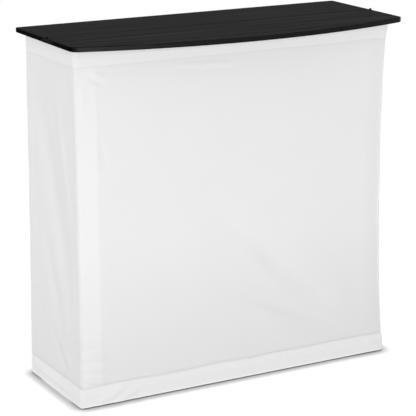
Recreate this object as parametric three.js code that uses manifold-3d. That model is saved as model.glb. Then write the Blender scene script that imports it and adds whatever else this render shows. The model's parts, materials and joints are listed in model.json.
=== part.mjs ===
// Folding portable bar. Two steel frames are joined by side links that fold inwards, so the bar closes
// flat from front to back. It carries a hinged shelf, a lift-off top in two leaves and a stretched cover.
// Millimetres, +Z up, the front faces -Y. The origin is on the floor under the middle of the top.

import * as THREE from 'three';
import { mergeVertices } from 'three/addons/utils/BufferGeometryUtils.js';
import Module from 'manifold-3d';

const wasm = await Module();
wasm.setup();

// Driving dimensions: bar top
const BAR_HEIGHT = 920;
const TOP_LENGTH = 945;
const TOP_END_DEPTH = 338;
const TOP_BOW = 74;
const TOP_THICKNESS = 12;
const REAR_LEAF_DEPTH = 190;
const FRONT_CORNER_RADIUS = 24;
const REAR_CORNER_RADIUS = 6;
const TOP_EDGE_EASE = 1.2;
const LEAF_JOINT_GAP = 1;

// Driving dimensions: hinges let into the ends of the top
const LEAF_FOLD_LIFT = 0.4;
const END_HINGE_REACH = 36;
const END_HINGE_WIDTH = 6;
const END_HINGE_PLATE = 1.2;
const END_HINGE_EYE_RADIUS = 3.6;
const END_HINGE_PIN_DIAMETER = 3;
const END_HINGE_PIN_HEAD = 0.8;
const END_HINGE_PIN_HEAD_DIAMETER = 5.4;
const END_HINGE_POCKET_EASE = 1;

// Driving dimensions: frames
const END_OVERHANG = 22.5;
const REAR_OVERHANG = 14.5;
const FRAME_DEPTH = 286;
const LEG_DIAMETER = 28;
const LEG_WALL = 1.5;
const LEG_TOP_INSET = 1;
const LEG_BEAD_HEIGHT = 6;
const LEG_BEAD_REACH = 2.5;
const RAIL_SIDE = 20;
const RAIL_WALL = 1.5;
const SHELF_RAIL_DIAMETER = 16;
const SHELF_RAIL_WALL = 1.2;
const SHELF_RAIL_ENTRY = 4;

// Driving dimensions: moulded corner and foot blocks
const BLOCK_REACH = 30;
const BLOCK_CORNER_RADIUS = 6;
const BLOCK_HUB_WALL = 3.6;
const BLOCK_EDGE_EASE = 1;
const SOCKET_DEPTH = 28;
const SOCKET_WALL = 3;
const SOCKET_FLOOR = 3.6;
const GUSSET_RADIUS = 10;
const FOOT_BLOCK_HEIGHT = 30;
const FOOT_FLOOR = 5;
const FOOT_REACH_X = 2.5;
const FOOT_REACH_Y = 11.5;
const FOOT_PAD_HEIGHT = 4;
const FOOT_PAD_RADIUS = 18;
const FOOT_PAD_CHAMFER = 1.5;

// Driving dimensions: folding side links
const LINK_WIDTH = 18;
const LINK_THICKNESS = 5;
const LINK_RING_WALL = 5;
const UPPER_LINK_DROP = 38;
const LOWER_LINK_RISE = 10;
const LINK_PIN_DIAMETER = 8;
const LINK_PIN_HEAD_DIAMETER = 16;
const LINK_PIN_HEAD_HEIGHT = 3;
const TOP_POST_DIAMETER = 12;
const TOP_POST_CAP_HEIGHT = 5;

// Driving dimensions: folding shelf
const SHELF_HEIGHT = 470;
const SHELF_THICKNESS = 12;
const SHELF_END_CLEARANCE = 8;
const SHELF_EDGE_EASE = 1;
const SHELF_JOINT_GAP = 1.2;
const SHELF_CORNER_RADIUS = 8;
const CLIP_END_INSET = 118;
const CLIP_WIDTH = 26;
const CLIP_WALL = 2.6;
const CLIP_PLATE_REACH = 44;
const CLIP_EDGE_CLEARANCE = 1.5;
const SHELF_HINGE_LEAF = 26;
const SHELF_HINGE_PLATE = 1.2;
const SHELF_HINGE_PIN_DIAMETER = 3;
const SHELF_HINGE_KNUCKLE_WALL = 1.2;
const SHELF_HINGE_KNUCKLES = 9;
const SHELF_HINGE_END_INSET = 20;

// Driving dimensions: locating pegs and cover tapes
const PEG_LENGTH = 22;
const PEG_CLEARANCE = 0.6;
const PEG_CHAMFER = 2;
const TAPE_WIDTH = 16;
const TAPE_THICKNESS = 2.6;
const TAPE_END_INSET = 4;

// Driving dimensions: cloth cover
const COVER_THICKNESS = 1.5;
const COVER_HEM_EXTRA = 0.6;
const COVER_TOP_HEM = 45;
const COVER_BOTTOM_HEM = 50;
const COVER_HEM_STEP = 4;
const COVER_TOP_DROP = 2;
const COVER_FLOOR_GAP = 3;
const COVER_FRAME_GAP = 0.5;
const COVER_CORNER_RADIUS = 6;
const COVER_CORNER_BAND = 54;
const COVER_REAR_BAND_PAST_LEG = 3.5;
const COVER_FRONT_PULL = 13;
const COVER_SIDE_PULL = 8;
const COVER_REAR_PULL = 1.5;
const COVER_SEAM_BACK = 12;
const COVER_REAR_RETURN = 24;
const COVER_FOLD_DEPTH = 2;
const COVER_FOLD_WIDTH = 60;
const COVER_FOLD_START_DROP = 180;
const COVER_FOLD_END_RISE = 223;

// Clearances shared by neighbours: pieces that seat, and pieces that turn
const SEAT_GAP = 0.4;
const RUN_GAP = 0.4;

// Facets of curved pieces, and how close points are taken as one
const LEG_FACETS = 18;
const ROUND_FACETS = 16;
const ARC_FACETS = 8;
const BLOCK_ARC_FACETS = 4;
const BOW_FACETS = 12;
const COVER_ARC_FACETS = 4;
const COVER_ROWS = 10;
const COVER_FRONT_COLUMNS = 14;
const COVER_SIDE_COLUMNS = 8;
const WELD_TOLERANCE = 1e-4;

// Places worked out from the driving dimensions
const topHalf = TOP_LENGTH / 2;
const topDepth = TOP_END_DEPTH + TOP_BOW;
const rearEdgeY = topDepth / 2;
const bowApexY = -topDepth / 2;
const jointY = rearEdgeY - REAR_LEAF_DEPTH;
const boardUnder = BAR_HEIGHT - TOP_THICKNESS;
const frameTop = boardUnder - SEAT_GAP;

const legRadius = LEG_DIAMETER / 2;
const legBore = legRadius - LEG_WALL;
const frameHalf = topHalf - END_OVERHANG;
const frameRearY = rearEdgeY - REAR_OVERHANG;
const frameFrontY = frameRearY - FRAME_DEPTH;
const legX = frameHalf - BLOCK_REACH;
const rearLegY = frameRearY - BLOCK_REACH;
const frontLegY = frameFrontY + BLOCK_REACH;
const midY = (rearLegY + frontLegY) / 2;
const linkReach = (rearLegY - frontLegY) / 2;

const hubReach = legRadius + SEAT_GAP + BLOCK_HUB_WALL;
const armReach = hubReach + SOCKET_DEPTH;
const socketWidth = RAIL_SIDE + 2 * SEAT_GAP;
const armWidth = socketWidth + 2 * SOCKET_WALL;
const topBlockHeight = RAIL_SIDE + SEAT_GAP + SOCKET_FLOOR;
const topBlockZ = frameTop - topBlockHeight;
const footBlockTop = FOOT_PAD_HEIGHT + FOOT_BLOCK_HEIGHT;
const footRailZ = FOOT_PAD_HEIGHT + SOCKET_FLOOR + SEAT_GAP;
const legFootZ = FOOT_PAD_HEIGHT + FOOT_FLOOR + SEAT_GAP;
const legTopZ = frameTop - LEG_TOP_INSET;

const linkStep = LINK_THICKNESS + RUN_GAP;
const linkRingRadius = legRadius + RUN_GAP + LINK_RING_WALL;
const upperRearLinkZ = topBlockZ - UPPER_LINK_DROP;
const upperFrontLinkZ = upperRearLinkZ - linkStep;
const lowerFrontLinkZ = footBlockTop + LOWER_LINK_RISE;
const lowerRearLinkZ = lowerFrontLinkZ + linkStep;

const shelfRailRadius = SHELF_RAIL_DIAMETER / 2;
const clipRadius = shelfRailRadius + RUN_GAP + CLIP_WALL;
const knuckleRadius = SHELF_HINGE_PIN_DIAMETER / 2 + RUN_GAP + SHELF_HINGE_KNUCKLE_WALL;
const shelfUnder = SHELF_HEIGHT - SHELF_THICKNESS;
const shelfAxisZ = shelfUnder - SEAT_GAP - knuckleRadius;
const shelfHalf = legX - legRadius - SHELF_END_CLEARANCE;
const shelfEdgeSetback = clipRadius + CLIP_EDGE_CLEARANCE;
const shelfPlateTop = knuckleRadius;
const shelfPlateBottom = knuckleRadius - SHELF_HINGE_PLATE;

// Finishes
function finish(color, roughness, metalness) {
  return new THREE.MeshStandardMaterial({ color, roughness, metalness });
}
const blackBoard = () => finish(0x2a2a2b, 0.55, 0);
const blackSteel = () => finish(0x2e2e30, 0.5, 0.4);
const paintedSteel = () => finish(0xb4b7ba, 0.45, 0.3);
const zincSteel = () => finish(0xc9cbcd, 0.35, 0.9);
const mouldedNylon = () => finish(0x8d9093, 0.6, 0);
const footRubber = () => finish(0x232324, 0.85, 0);
const whiteCloth = () => finish(0xf1f1f0, 0.9, 0);
const hookTape = () => finish(0xe4e4e2, 0.95, 0);

// Shape helpers
function toSolid(geometry) {
  const bare = geometry.clone();
  for (const name of Object.keys(bare.attributes)) {
    if (name !== 'position') bare.deleteAttribute(name);
  }
  const welded = mergeVertices(bare, WELD_TOLERANCE);
  return new wasm.Manifold(new wasm.Mesh({
    numProp: 3,
    vertProperties: welded.attributes.position.array,
    triVerts: Uint32Array.from(welded.index.array),
  }));
}

function toGeometry(solid) {
  const { vertProperties, triVerts } = solid.getMesh();
  const geometry = new THREE.BufferGeometry();
  geometry.setAttribute('position', new THREE.BufferAttribute(vertProperties, 3));
  geometry.setIndex(new THREE.BufferAttribute(triVerts, 1));
  geometry.computeVertexNormals();
  return geometry;
}

function cut(base, ...tools) {
  return toGeometry(tools.reduce((solid, tool) => solid.subtract(toSolid(tool)), toSolid(base)));
}

function join(...pieces) {
  const [first, ...rest] = pieces.map(toSolid);
  return toGeometry(rest.reduce((solid, piece) => solid.add(piece), first));
}

function box([x0, x1], [y0, y1], [z0, z1]) {
  const geometry = new THREE.BoxGeometry(x1 - x0, y1 - y0, z1 - z0);
  return geometry.translate((x0 + x1) / 2, (y0 + y1) / 2, (z0 + z1) / 2);
}

// A plan outline raised from z0 to z1
function prism(shape, z0, z1) {
  const geometry = new THREE.ExtrudeGeometry(shape, {
    depth: z1 - z0,
    bevelEnabled: false,
    curveSegments: ARC_FACETS,
  });
  return geometry.translate(0, 0, z0);
}

// A plan outline raised from z0 to z1 with its upper and lower edges eased
function easedPrism(shape, z0, z1, ease, curveSegments = ARC_FACETS) {
  const geometry = new THREE.ExtrudeGeometry(shape, {
    depth: z1 - z0 - 2 * ease,
    bevelThickness: ease,
    bevelSize: ease,
    bevelOffset: -ease,
    bevelSegments: 1,
    curveSegments,
  });
  return geometry.translate(0, 0, z0 + ease);
}

// A side outline drawn in Y and Z, run along X from x0 to x1
function runAlongX(shape, x0, x1) {
  const turn = new THREE.Matrix4().makeBasis(
    new THREE.Vector3(0, 1, 0),
    new THREE.Vector3(0, 0, 1),
    new THREE.Vector3(1, 0, 0),
  );
  return prism(shape, x0, x1).applyMatrix4(turn);
}

// A turned piece: points of radius and height, upwards on the outside
function turned(points, facets = ROUND_FACETS) {
  const profile = points.map(([radius, z]) => new THREE.Vector2(radius, z));
  return new THREE.LatheGeometry(profile, facets).rotateX(Math.PI / 2);
}

function rodAlongX(radius, x0, x1, y, z, facets = ROUND_FACETS) {
  const geometry = new THREE.CylinderGeometry(radius, radius, x1 - x0, facets).rotateZ(Math.PI / 2);
  return geometry.translate((x0 + x1) / 2, y, z);
}

function rodAlongZ(radius, z0, z1, facets = ROUND_FACETS) {
  return new THREE.CylinderGeometry(radius, radius, z1 - z0, facets)
    .rotateX(Math.PI / 2)
    .translate(0, 0, (z0 + z1) / 2);
}

// A round hole, wound the other way from the outline it is in
function circleHole(shape, x, y, radius) {
  const hole = new THREE.Path();
  hole.absarc(x, y, radius, 0, 2 * Math.PI, !THREE.ShapeUtils.isClockWise(shape.getPoints()));
  shape.holes.push(hole);
}

const bar = new THREE.Group();

function place(name, geometry, material, position = [0, 0, 0], scale = [1, 1, 1]) {
  const mesh = new THREE.Mesh(geometry, material);
  mesh.name = name;
  mesh.position.set(...position);
  mesh.scale.set(...scale);
  bar.add(mesh);
}

const corners = [
  { name: 'rear_left', side: -1, end: 1, y: rearLegY },
  { name: 'rear_right', side: 1, end: 1, y: rearLegY },
  { name: 'front_left', side: -1, end: -1, y: frontLegY },
  { name: 'front_right', side: 1, end: -1, y: frontLegY },
];
const sides = [
  { name: 'left', side: -1 },
  { name: 'right', side: 1 },
];

// Legs: tubes with a swaged bead under each link ring and a drilled hole for the shelf rail
function legGeometry(corner) {
  const upperLinkZ = corner.end > 0 ? upperRearLinkZ : upperFrontLinkZ;
  const lowerLinkZ = corner.end > 0 ? lowerRearLinkZ : lowerFrontLinkZ;
  const profile = [[legBore, legFootZ], [legRadius, legFootZ]];
  for (const linkZ of [lowerLinkZ, upperLinkZ]) {
    const beadTop = linkZ - RUN_GAP;
    const beadFoot = beadTop - LEG_BEAD_HEIGHT;
    const beadRadius = legRadius + LEG_BEAD_REACH;
    profile.push([legRadius, beadFoot], [beadRadius, beadFoot + LEG_BEAD_REACH]);
    profile.push([beadRadius, beadTop - LEG_BEAD_REACH / 2], [legRadius, beadTop]);
  }
  profile.push([legRadius, legTopZ], [legBore, legTopZ], [legBore, legFootZ]);
  const hole = rodAlongX(shelfRailRadius + SEAT_GAP, -legRadius * 2, 0, 0, shelfAxisZ);
  return cut(turned(profile, LEG_FACETS), hole);
}

for (const corner of corners) {
  const position = [corner.side * legX, corner.y, 0];
  place(`${corner.name}_leg`, legGeometry(corner), paintedSteel(), position, [corner.side, 1, 1]);
}

// Corner blocks, drawn for a corner whose outside is towards +X and +Y, with the leg on the Z axis.
// A square hub holds the leg and an arm with a socket takes the rail.
function blockShape(reachX, reachY) {
  const outerX = BLOCK_REACH + reachX;
  const outerY = BLOCK_REACH + reachY;
  const r = BLOCK_CORNER_RADIUS;
  const armInner = outerY - armWidth;
  const shape = new THREE.Shape();
  shape.moveTo(-armReach, outerY);
  shape.lineTo(-armReach, armInner);
  shape.lineTo(-hubReach - GUSSET_RADIUS, armInner);
  shape.absarc(-hubReach - GUSSET_RADIUS, armInner - GUSSET_RADIUS, GUSSET_RADIUS, Math.PI / 2, 0, true);
  shape.lineTo(-hubReach, -hubReach);
  shape.lineTo(outerX, -hubReach);
  shape.absarc(outerX - r, outerY - r, r, 0, Math.PI / 2, false);
  return shape;
}

function socketBox(reachY, z0, z1) {
  const outer = BLOCK_REACH + reachY - SOCKET_WALL;
  return box([-armReach - SOCKET_WALL, -hubReach], [outer - socketWidth, outer], [z0, z1]);
}

function topBlockGeometry() {
  const body = easedPrism(blockShape(0, 0), 0, topBlockHeight, BLOCK_EDGE_EASE, BLOCK_ARC_FACETS);
  const legHole = rodAlongZ(legRadius + SEAT_GAP, -SOCKET_FLOOR, topBlockHeight + SOCKET_FLOOR, LEG_FACETS);
  const socket = socketBox(0, SOCKET_FLOOR, topBlockHeight + SOCKET_FLOOR);
  return cut(body, legHole, socket);
}

function footBlockGeometry() {
  const shape = blockShape(FOOT_REACH_X, FOOT_REACH_Y);
  const body = easedPrism(shape, 0, FOOT_BLOCK_HEIGHT, BLOCK_EDGE_EASE, BLOCK_ARC_FACETS);
  const legHole = rodAlongZ(legRadius + SEAT_GAP, FOOT_FLOOR, FOOT_BLOCK_HEIGHT + FOOT_FLOOR, LEG_FACETS);
  const socket = socketBox(FOOT_REACH_Y, SOCKET_FLOOR, SOCKET_FLOOR + socketWidth);
  return cut(body, legHole, socket);
}

// Foot pads: turned rubber discs under the foot blocks
function footPadGeometry() {
  const top = FOOT_PAD_HEIGHT - SEAT_GAP;
  return turned([
    [0, 0],
    [FOOT_PAD_RADIUS - FOOT_PAD_CHAMFER, 0],
    [FOOT_PAD_RADIUS, FOOT_PAD_CHAMFER],
    [FOOT_PAD_RADIUS, top],
    [0, top],
  ]);
}

for (const corner of corners) {
  const mirror = [corner.side, corner.end, 1];
  const x = corner.side * legX;
  const topPlace = [x, corner.y, topBlockZ];
  const footPlace = [x, corner.y, FOOT_PAD_HEIGHT];
  place(`${corner.name}_top_block`, topBlockGeometry(), mouldedNylon(), topPlace, mirror);
  place(`${corner.name}_foot_block`, footBlockGeometry(), mouldedNylon(), footPlace, mirror);
  const padY = corner.y + corner.end * FOOT_REACH_Y / 2;
  place(`${corner.name}_foot_pad`, footPadGeometry(), footRubber(), [x, padY, 0]);
}

// Rails: square tubes that end in the block sockets, and round shelf rails that enter the legs
function railShape(z0) {
  const half = RAIL_SIDE / 2;
  const inner = half - RAIL_WALL;
  const middle = z0 + half;
  const shape = new THREE.Shape();
  shape.moveTo(-half, middle - half);
  shape.lineTo(half, middle - half);
  shape.lineTo(half, middle + half);
  shape.lineTo(-half, middle + half);
  const bore = new THREE.Path();
  bore.moveTo(-inner, middle - inner);
  bore.lineTo(-inner, middle + inner);
  bore.lineTo(inner, middle + inner);
  bore.lineTo(inner, middle - inner);
  shape.holes.push(bore);
  return shape;
}

function shelfRailShape() {
  const shape = new THREE.Shape();
  shape.absarc(0, shelfAxisZ, shelfRailRadius, 0, 2 * Math.PI, false);
  circleHole(shape, 0, shelfAxisZ, shelfRailRadius - SHELF_RAIL_WALL);
  return shape;
}

const railHalf = legX - hubReach - SEAT_GAP;
const railOffset = BLOCK_REACH - SOCKET_WALL - SEAT_GAP - RAIL_SIDE / 2;
const shelfRailHalf = legX - legBore + SHELF_RAIL_ENTRY;
const frames = [
  { name: 'rear', end: 1, y: rearLegY },
  { name: 'front', end: -1, y: frontLegY },
];

for (const frame of frames) {
  const topRailY = frame.y + frame.end * railOffset;
  const footRailY = topRailY + frame.end * FOOT_REACH_Y;
  const topRail = runAlongX(railShape(frameTop - RAIL_SIDE), -railHalf, railHalf);
  const footRail = runAlongX(railShape(footRailZ), -railHalf, railHalf);
  const shelfRail = runAlongX(shelfRailShape(), -shelfRailHalf, shelfRailHalf);
  place(`${frame.name}_top_rail`, topRail, paintedSteel(), [0, topRailY, 0]);
  place(`${frame.name}_shelf_rail`, shelfRail, paintedSteel(), [0, frame.y, 0]);
  place(`${frame.name}_foot_rail`, footRail, paintedSteel(), [0, footRailY, 0]);
}

// Cover tapes: hook-and-loop strips on the outside of the front rails
const tapeHalf = legX - armReach - TAPE_END_INSET;
const tapeOffset = railOffset + RAIL_SIDE / 2 + SEAT_GAP;
const tapes = [
  { name: 'front_top_tape', reach: 0, middleZ: frameTop - RAIL_SIDE / 2 },
  { name: 'front_foot_tape', reach: FOOT_REACH_Y, middleZ: footRailZ + RAIL_SIDE / 2 },
];

for (const tape of tapes) {
  const innerY = frontLegY - tapeOffset - tape.reach;
  const strip = box(
    [-tapeHalf, tapeHalf],
    [innerY - TAPE_THICKNESS, innerY],
    [tape.middleZ - TAPE_WIDTH / 2, tape.middleZ + TAPE_WIDTH / 2],
  );
  place(tape.name, strip, hookTape());
}

// Side links: flat bars with a ring round the leg and a pin hole at the middle of the side.
// The shape runs from the leg at the origin towards +X and is turned towards the other leg.
function linkShape() {
  const half = LINK_WIDTH / 2;
  const spread = Math.asin(half / linkRingRadius);
  const shape = new THREE.Shape();
  shape.absarc(0, 0, linkRingRadius, spread, 2 * Math.PI - spread, false);
  shape.lineTo(linkReach, -half);
  shape.absarc(linkReach, 0, half, -Math.PI / 2, Math.PI / 2, false);
  circleHole(shape, 0, 0, legRadius + RUN_GAP);
  circleHole(shape, linkReach, 0, LINK_PIN_DIAMETER / 2 + RUN_GAP);
  return shape;
}

function linkGeometry(end, z) {
  return prism(linkShape(), z, z + LINK_THICKNESS).rotateZ(-end * Math.PI / 2);
}

// Link pins: a riveted pin with a foot below the front half and a shoulder above the rear half.
// The upper pins carry on as posts that hold up the top beside its joint.
function linkPinGeometry(frontZ, postTop) {
  const shank = LINK_PIN_DIAMETER / 2;
  const head = LINK_PIN_HEAD_DIAMETER / 2;
  const footTop = frontZ - RUN_GAP;
  const shoulder = frontZ + linkStep + LINK_THICKNESS + RUN_GAP;
  const shoulderTop = shoulder + LINK_PIN_HEAD_HEIGHT;
  const profile = [
    [0, footTop - LINK_PIN_HEAD_HEIGHT],
    [head, footTop - LINK_PIN_HEAD_HEIGHT],
    [head, footTop],
    [shank, footTop],
    [shank, shoulder],
    [head, shoulder],
    [head, shoulderTop],
  ];
  if (postTop > shoulderTop) {
    const post = TOP_POST_DIAMETER / 2;
    const capFoot = postTop - TOP_POST_CAP_HEIGHT;
    profile.push([post, shoulderTop], [post, capFoot], [head, capFoot], [head, postTop], [0, postTop]);
  } else {
    profile.push([0, shoulderTop]);
  }
  return turned(profile);
}

const linkLevels = [
  { name: 'upper', rearZ: upperRearLinkZ, frontZ: upperFrontLinkZ, postTop: frameTop },
  { name: 'lower', rearZ: lowerRearLinkZ, frontZ: lowerFrontLinkZ, postTop: 0 },
];

for (const { name, side } of sides) {
  for (const level of linkLevels) {
    const x = side * legX;
    const rearLink = linkGeometry(1, level.rearZ);
    const frontLink = linkGeometry(-1, level.frontZ);
    place(`${name}_rear_${level.name}_link`, rearLink, zincSteel(), [x, rearLegY, 0]);
    place(`${name}_front_${level.name}_link`, frontLink, zincSteel(), [x, frontLegY, 0]);
    const pin = linkPinGeometry(level.frontZ, level.postTop);
    place(`${name}_${level.name}_link_pin`, pin, zincSteel(), [x, midY, 0]);
  }
}

// Shelf boards: two halves that meet at the middle line, short of the rails they hang on
function shelfBoardShape(innerY, outerY) {
  const towards = Math.sign(outerY - innerY);
  const r = SHELF_CORNER_RADIUS;
  const shape = new THREE.Shape();
  shape.moveTo(-shelfHalf, innerY);
  shape.lineTo(shelfHalf, innerY);
  shape.lineTo(shelfHalf, outerY - towards * r);
  shape.quadraticCurveTo(shelfHalf, outerY, shelfHalf - r, outerY);
  shape.lineTo(-shelfHalf + r, outerY);
  shape.quadraticCurveTo(-shelfHalf, outerY, -shelfHalf, outerY - towards * r);
  return shape;
}

// Shelf clips: an eye round the shelf rail with a plate under the board
function clipGeometry(towards) {
  const half = CLIP_WIDTH / 2;
  const eye = new THREE.Shape();
  eye.absarc(0, shelfAxisZ, clipRadius, 0, 2 * Math.PI, false);
  const bore = rodAlongX(shelfRailRadius + RUN_GAP, -CLIP_WIDTH, CLIP_WIDTH, 0, shelfAxisZ);
  const plateY = [0, towards * CLIP_PLATE_REACH].sort((a, b) => a - b);
  const plate = box([-half, half], plateY, [shelfAxisZ + shelfPlateBottom, shelfAxisZ + shelfPlateTop]);
  return cut(join(runAlongX(eye, -half, half), plate), bore);
}

// Shelf hinge: a long hinge under the boards whose knuckles alternate between the two leaves
const hingeHalf = shelfHalf - SHELF_HINGE_END_INSET;
const knucklePitch = 2 * hingeHalf / SHELF_HINGE_KNUCKLES;

function hingeLeafGeometry(towards, firstKnuckle) {
  const nearEdge = knuckleRadius + RUN_GAP;
  const hingeBore = SHELF_HINGE_PIN_DIAMETER / 2 + RUN_GAP;
  const plateZ = [shelfAxisZ + shelfPlateBottom, shelfAxisZ + shelfPlateTop];
  const spanY = (from) => [towards * from, towards * SHELF_HINGE_LEAF].sort((a, b) => a - b);
  const pieces = [box([-hingeHalf, hingeHalf], spanY(nearEdge), plateZ)];
  const bores = [];
  for (let index = firstKnuckle; index < SHELF_HINGE_KNUCKLES; index += 2) {
    const x0 = -hingeHalf + index * knucklePitch + RUN_GAP / 2;
    const x1 = x0 + knucklePitch - RUN_GAP;
    pieces.push(box([x0, x1], spanY(0), plateZ));
    pieces.push(rodAlongX(knuckleRadius, x0, x1, 0, shelfAxisZ));
    bores.push(rodAlongX(hingeBore, x0 - RUN_GAP, x1 + RUN_GAP, 0, shelfAxisZ, ARC_FACETS));
  }
  return cut(join(...pieces), ...bores);
}

for (const { name, end, y } of frames) {
  const innerY = midY + end * SHELF_JOINT_GAP / 2;
  const outerY = y - end * shelfEdgeSetback;
  const shape = shelfBoardShape(innerY, outerY);
  const board = easedPrism(shape, shelfUnder, SHELF_HEIGHT, SHELF_EDGE_EASE, BLOCK_ARC_FACETS);
  place(`shelf_${name}_board`, board, blackBoard());
  for (const { name: sideName, side } of sides) {
    const position = [side * (shelfHalf - CLIP_END_INSET), y, 0];
    place(`shelf_${name}_${sideName}_clip`, clipGeometry(-end), zincSteel(), position);
  }
  const leaf = hingeLeafGeometry(end, end > 0 ? 0 : 1);
  place(`shelf_hinge_${name}_leaf`, leaf, zincSteel(), [0, midY, 0]);
}
const shelfPin = rodAlongX(SHELF_HINGE_PIN_DIAMETER / 2, -hingeHalf, hingeHalf, 0, 0, ARC_FACETS);
place('shelf_hinge_pin', shelfPin, zincSteel(), [0, midY, shelfAxisZ]);

// Top leaves: the rear leaf is straight, the front leaf has the bowed edge with rounded corners
function rearLeafShape() {
  const r = REAR_CORNER_RADIUS;
  const shape = new THREE.Shape();
  shape.moveTo(-topHalf, jointY + LEAF_JOINT_GAP / 2);
  shape.lineTo(topHalf, jointY + LEAF_JOINT_GAP / 2);
  shape.absarc(topHalf - r, rearEdgeY - r, r, 0, Math.PI / 2, false);
  shape.absarc(-topHalf + r, rearEdgeY - r, r, Math.PI / 2, Math.PI, false);
  return shape;
}

function frontLeafShape() {
  const r = FRONT_CORNER_RADIUS;
  const bowRadius = (topHalf ** 2 + TOP_BOW ** 2) / (2 * TOP_BOW);
  const bowCentreY = bowApexY + bowRadius;
  const cornerX = topHalf - r;
  const cornerY = bowCentreY - Math.sqrt((bowRadius - r) ** 2 - cornerX ** 2);
  const touchRight = Math.atan2(cornerY - bowCentreY, cornerX);
  const touchLeft = -Math.PI - touchRight;
  const shape = new THREE.Shape();
  shape.moveTo(topHalf, jointY - LEAF_JOINT_GAP / 2);
  shape.lineTo(-topHalf, jointY - LEAF_JOINT_GAP / 2);
  shape.absarc(-cornerX, cornerY, r, -Math.PI, touchLeft, false);
  shape.absarc(0, bowCentreY, bowRadius, touchLeft, touchRight, false);
  shape.absarc(cornerX, cornerY, r, touchRight, 0, false);
  return shape;
}

// End hinges of the top: flat plates let into the board ends, riveted at an eye just above the top face.
// In the outline, reach is measured from the joint line and height from the floor.
const foldAxisZ = BAR_HEIGHT + LEAF_FOLD_LIFT;
const endHingeMiddleZ = BAR_HEIGHT - TOP_THICKNESS / 2;
const endPinRadius = END_HINGE_PIN_DIAMETER / 2;
const innerPlateFace = SEAT_GAP + END_HINGE_PLATE;
const outerPlateFace = innerPlateFace + SEAT_GAP + END_HINGE_PLATE;
const endPocketDepth = outerPlateFace + SEAT_GAP + END_HINGE_PIN_HEAD;
const endPocketX = topHalf - endPocketDepth;

function endPlateShape(towards) {
  const half = END_HINGE_WIDTH / 2;
  const eye = END_HINGE_EYE_RADIUS;
  const tipCentre = END_HINGE_REACH - half;
  const shape = new THREE.Shape();
  shape.absarc(0, foldAxisZ, eye, towards > 0 ? Math.PI : 0, towards > 0 ? 0 : Math.PI, towards > 0);
  shape.lineTo(towards * eye, endHingeMiddleZ + half);
  shape.lineTo(towards * tipCentre, endHingeMiddleZ + half);
  shape.absarc(towards * tipCentre, endHingeMiddleZ, half, Math.PI / 2, -Math.PI / 2, towards > 0);
  shape.lineTo(-towards * eye, endHingeMiddleZ - half);
  circleHole(shape, 0, foldAxisZ, endPinRadius + RUN_GAP);
  return shape;
}

function rearEndPlateGeometry() {
  return runAlongX(endPlateShape(1), SEAT_GAP, innerPlateFace);
}

// The front plate runs outside the rear one and is packed out to the bottom of its pocket
function frontEndPlateGeometry() {
  const half = END_HINGE_WIDTH / 2;
  const packer = box(
    [SEAT_GAP, outerPlateFace - END_HINGE_PLATE / 2],
    [-END_HINGE_REACH + half, -END_HINGE_REACH / 2],
    [endHingeMiddleZ - half, endHingeMiddleZ + half],
  );
  return join(runAlongX(endPlateShape(-1), innerPlateFace + SEAT_GAP, outerPlateFace), packer);
}

function endPinGeometry() {
  const head = END_HINGE_PIN_HEAD_DIAMETER / 2;
  const headFoot = outerPlateFace + SEAT_GAP;
  const profile = [
    [0, SEAT_GAP],
    [endPinRadius, SEAT_GAP],
    [endPinRadius, headFoot],
    [head, headFoot],
    [head, headFoot + END_HINGE_PIN_HEAD],
    [0, headFoot + END_HINGE_PIN_HEAD],
  ];
  return turned(profile, ARC_FACETS).rotateY(Math.PI / 2).translate(0, 0, foldAxisZ);
}

// Pockets in both board ends: one along the plates and one open to the top round the eye
function endPockets(side) {
  const spanX = [side * endPocketX, side * (topHalf + endPocketDepth)].sort((a, b) => a - b);
  const half = END_HINGE_WIDTH / 2 + END_HINGE_POCKET_EASE;
  const reach = END_HINGE_REACH + END_HINGE_POCKET_EASE;
  const eye = END_HINGE_EYE_RADIUS + END_HINGE_POCKET_EASE;
  const low = endHingeMiddleZ - half;
  return [
    box(spanX, [jointY - reach, jointY + reach], [low, endHingeMiddleZ + half]),
    box(spanX, [jointY - eye, jointY + eye], [low, foldAxisZ + eye]),
  ];
}

const allPockets = sides.flatMap(({ side }) => endPockets(side));
const rearLeaf = easedPrism(rearLeafShape(), boardUnder, BAR_HEIGHT, TOP_EDGE_EASE);
const frontLeaf = easedPrism(frontLeafShape(), boardUnder, BAR_HEIGHT, TOP_EDGE_EASE, BOW_FACETS);
place('top_rear_leaf', cut(rearLeaf, ...allPockets), blackBoard());
place('top_front_leaf', cut(frontLeaf, ...allPockets), blackBoard());

for (const { name, side } of sides) {
  const position = [side * endPocketX, jointY, 0];
  const mirror = [side, 1, 1];
  place(`${name}_top_hinge_rear_plate`, rearEndPlateGeometry(), blackSteel(), position, mirror);
  place(`${name}_top_hinge_front_plate`, frontEndPlateGeometry(), blackSteel(), position, mirror);
  place(`${name}_top_hinge_pin`, endPinGeometry(), blackSteel(), position, mirror);
}

// Locating pegs under the rear leaf, which drop into the open tops of the rear legs
function pegGeometry() {
  const radius = legBore - PEG_CLEARANCE;
  const top = boardUnder - SEAT_GAP;
  return turned([
    [0, top - PEG_LENGTH],
    [radius - PEG_CHAMFER, top - PEG_LENGTH],
    [radius, top - PEG_LENGTH + PEG_CHAMFER],
    [radius, top],
    [0, top],
  ]);
}

for (const { name, side } of sides) {
  place(`${name}_top_peg`, pegGeometry(), mouldedNylon(), [side * legX, rearLegY, 0]);
}

// Cloth cover: a stretched skirt round the front and sides, drawn in between the top and foot blocks.
// The blocks push its walls and crisp sewn corners out, and a doubled band runs down each corner.
const coverTopZ = frameTop - COVER_TOP_DROP;
const coverReach = BLOCK_REACH + COVER_FRAME_GAP;
const coverSeamY = frontLegY + COVER_SEAM_BACK;

// 0 at the top blocks and 1 at the foot blocks
function spread(z) {
  return THREE.MathUtils.clamp((topBlockZ - z) / (topBlockZ - footBlockTop), 0, 1);
}

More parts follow.
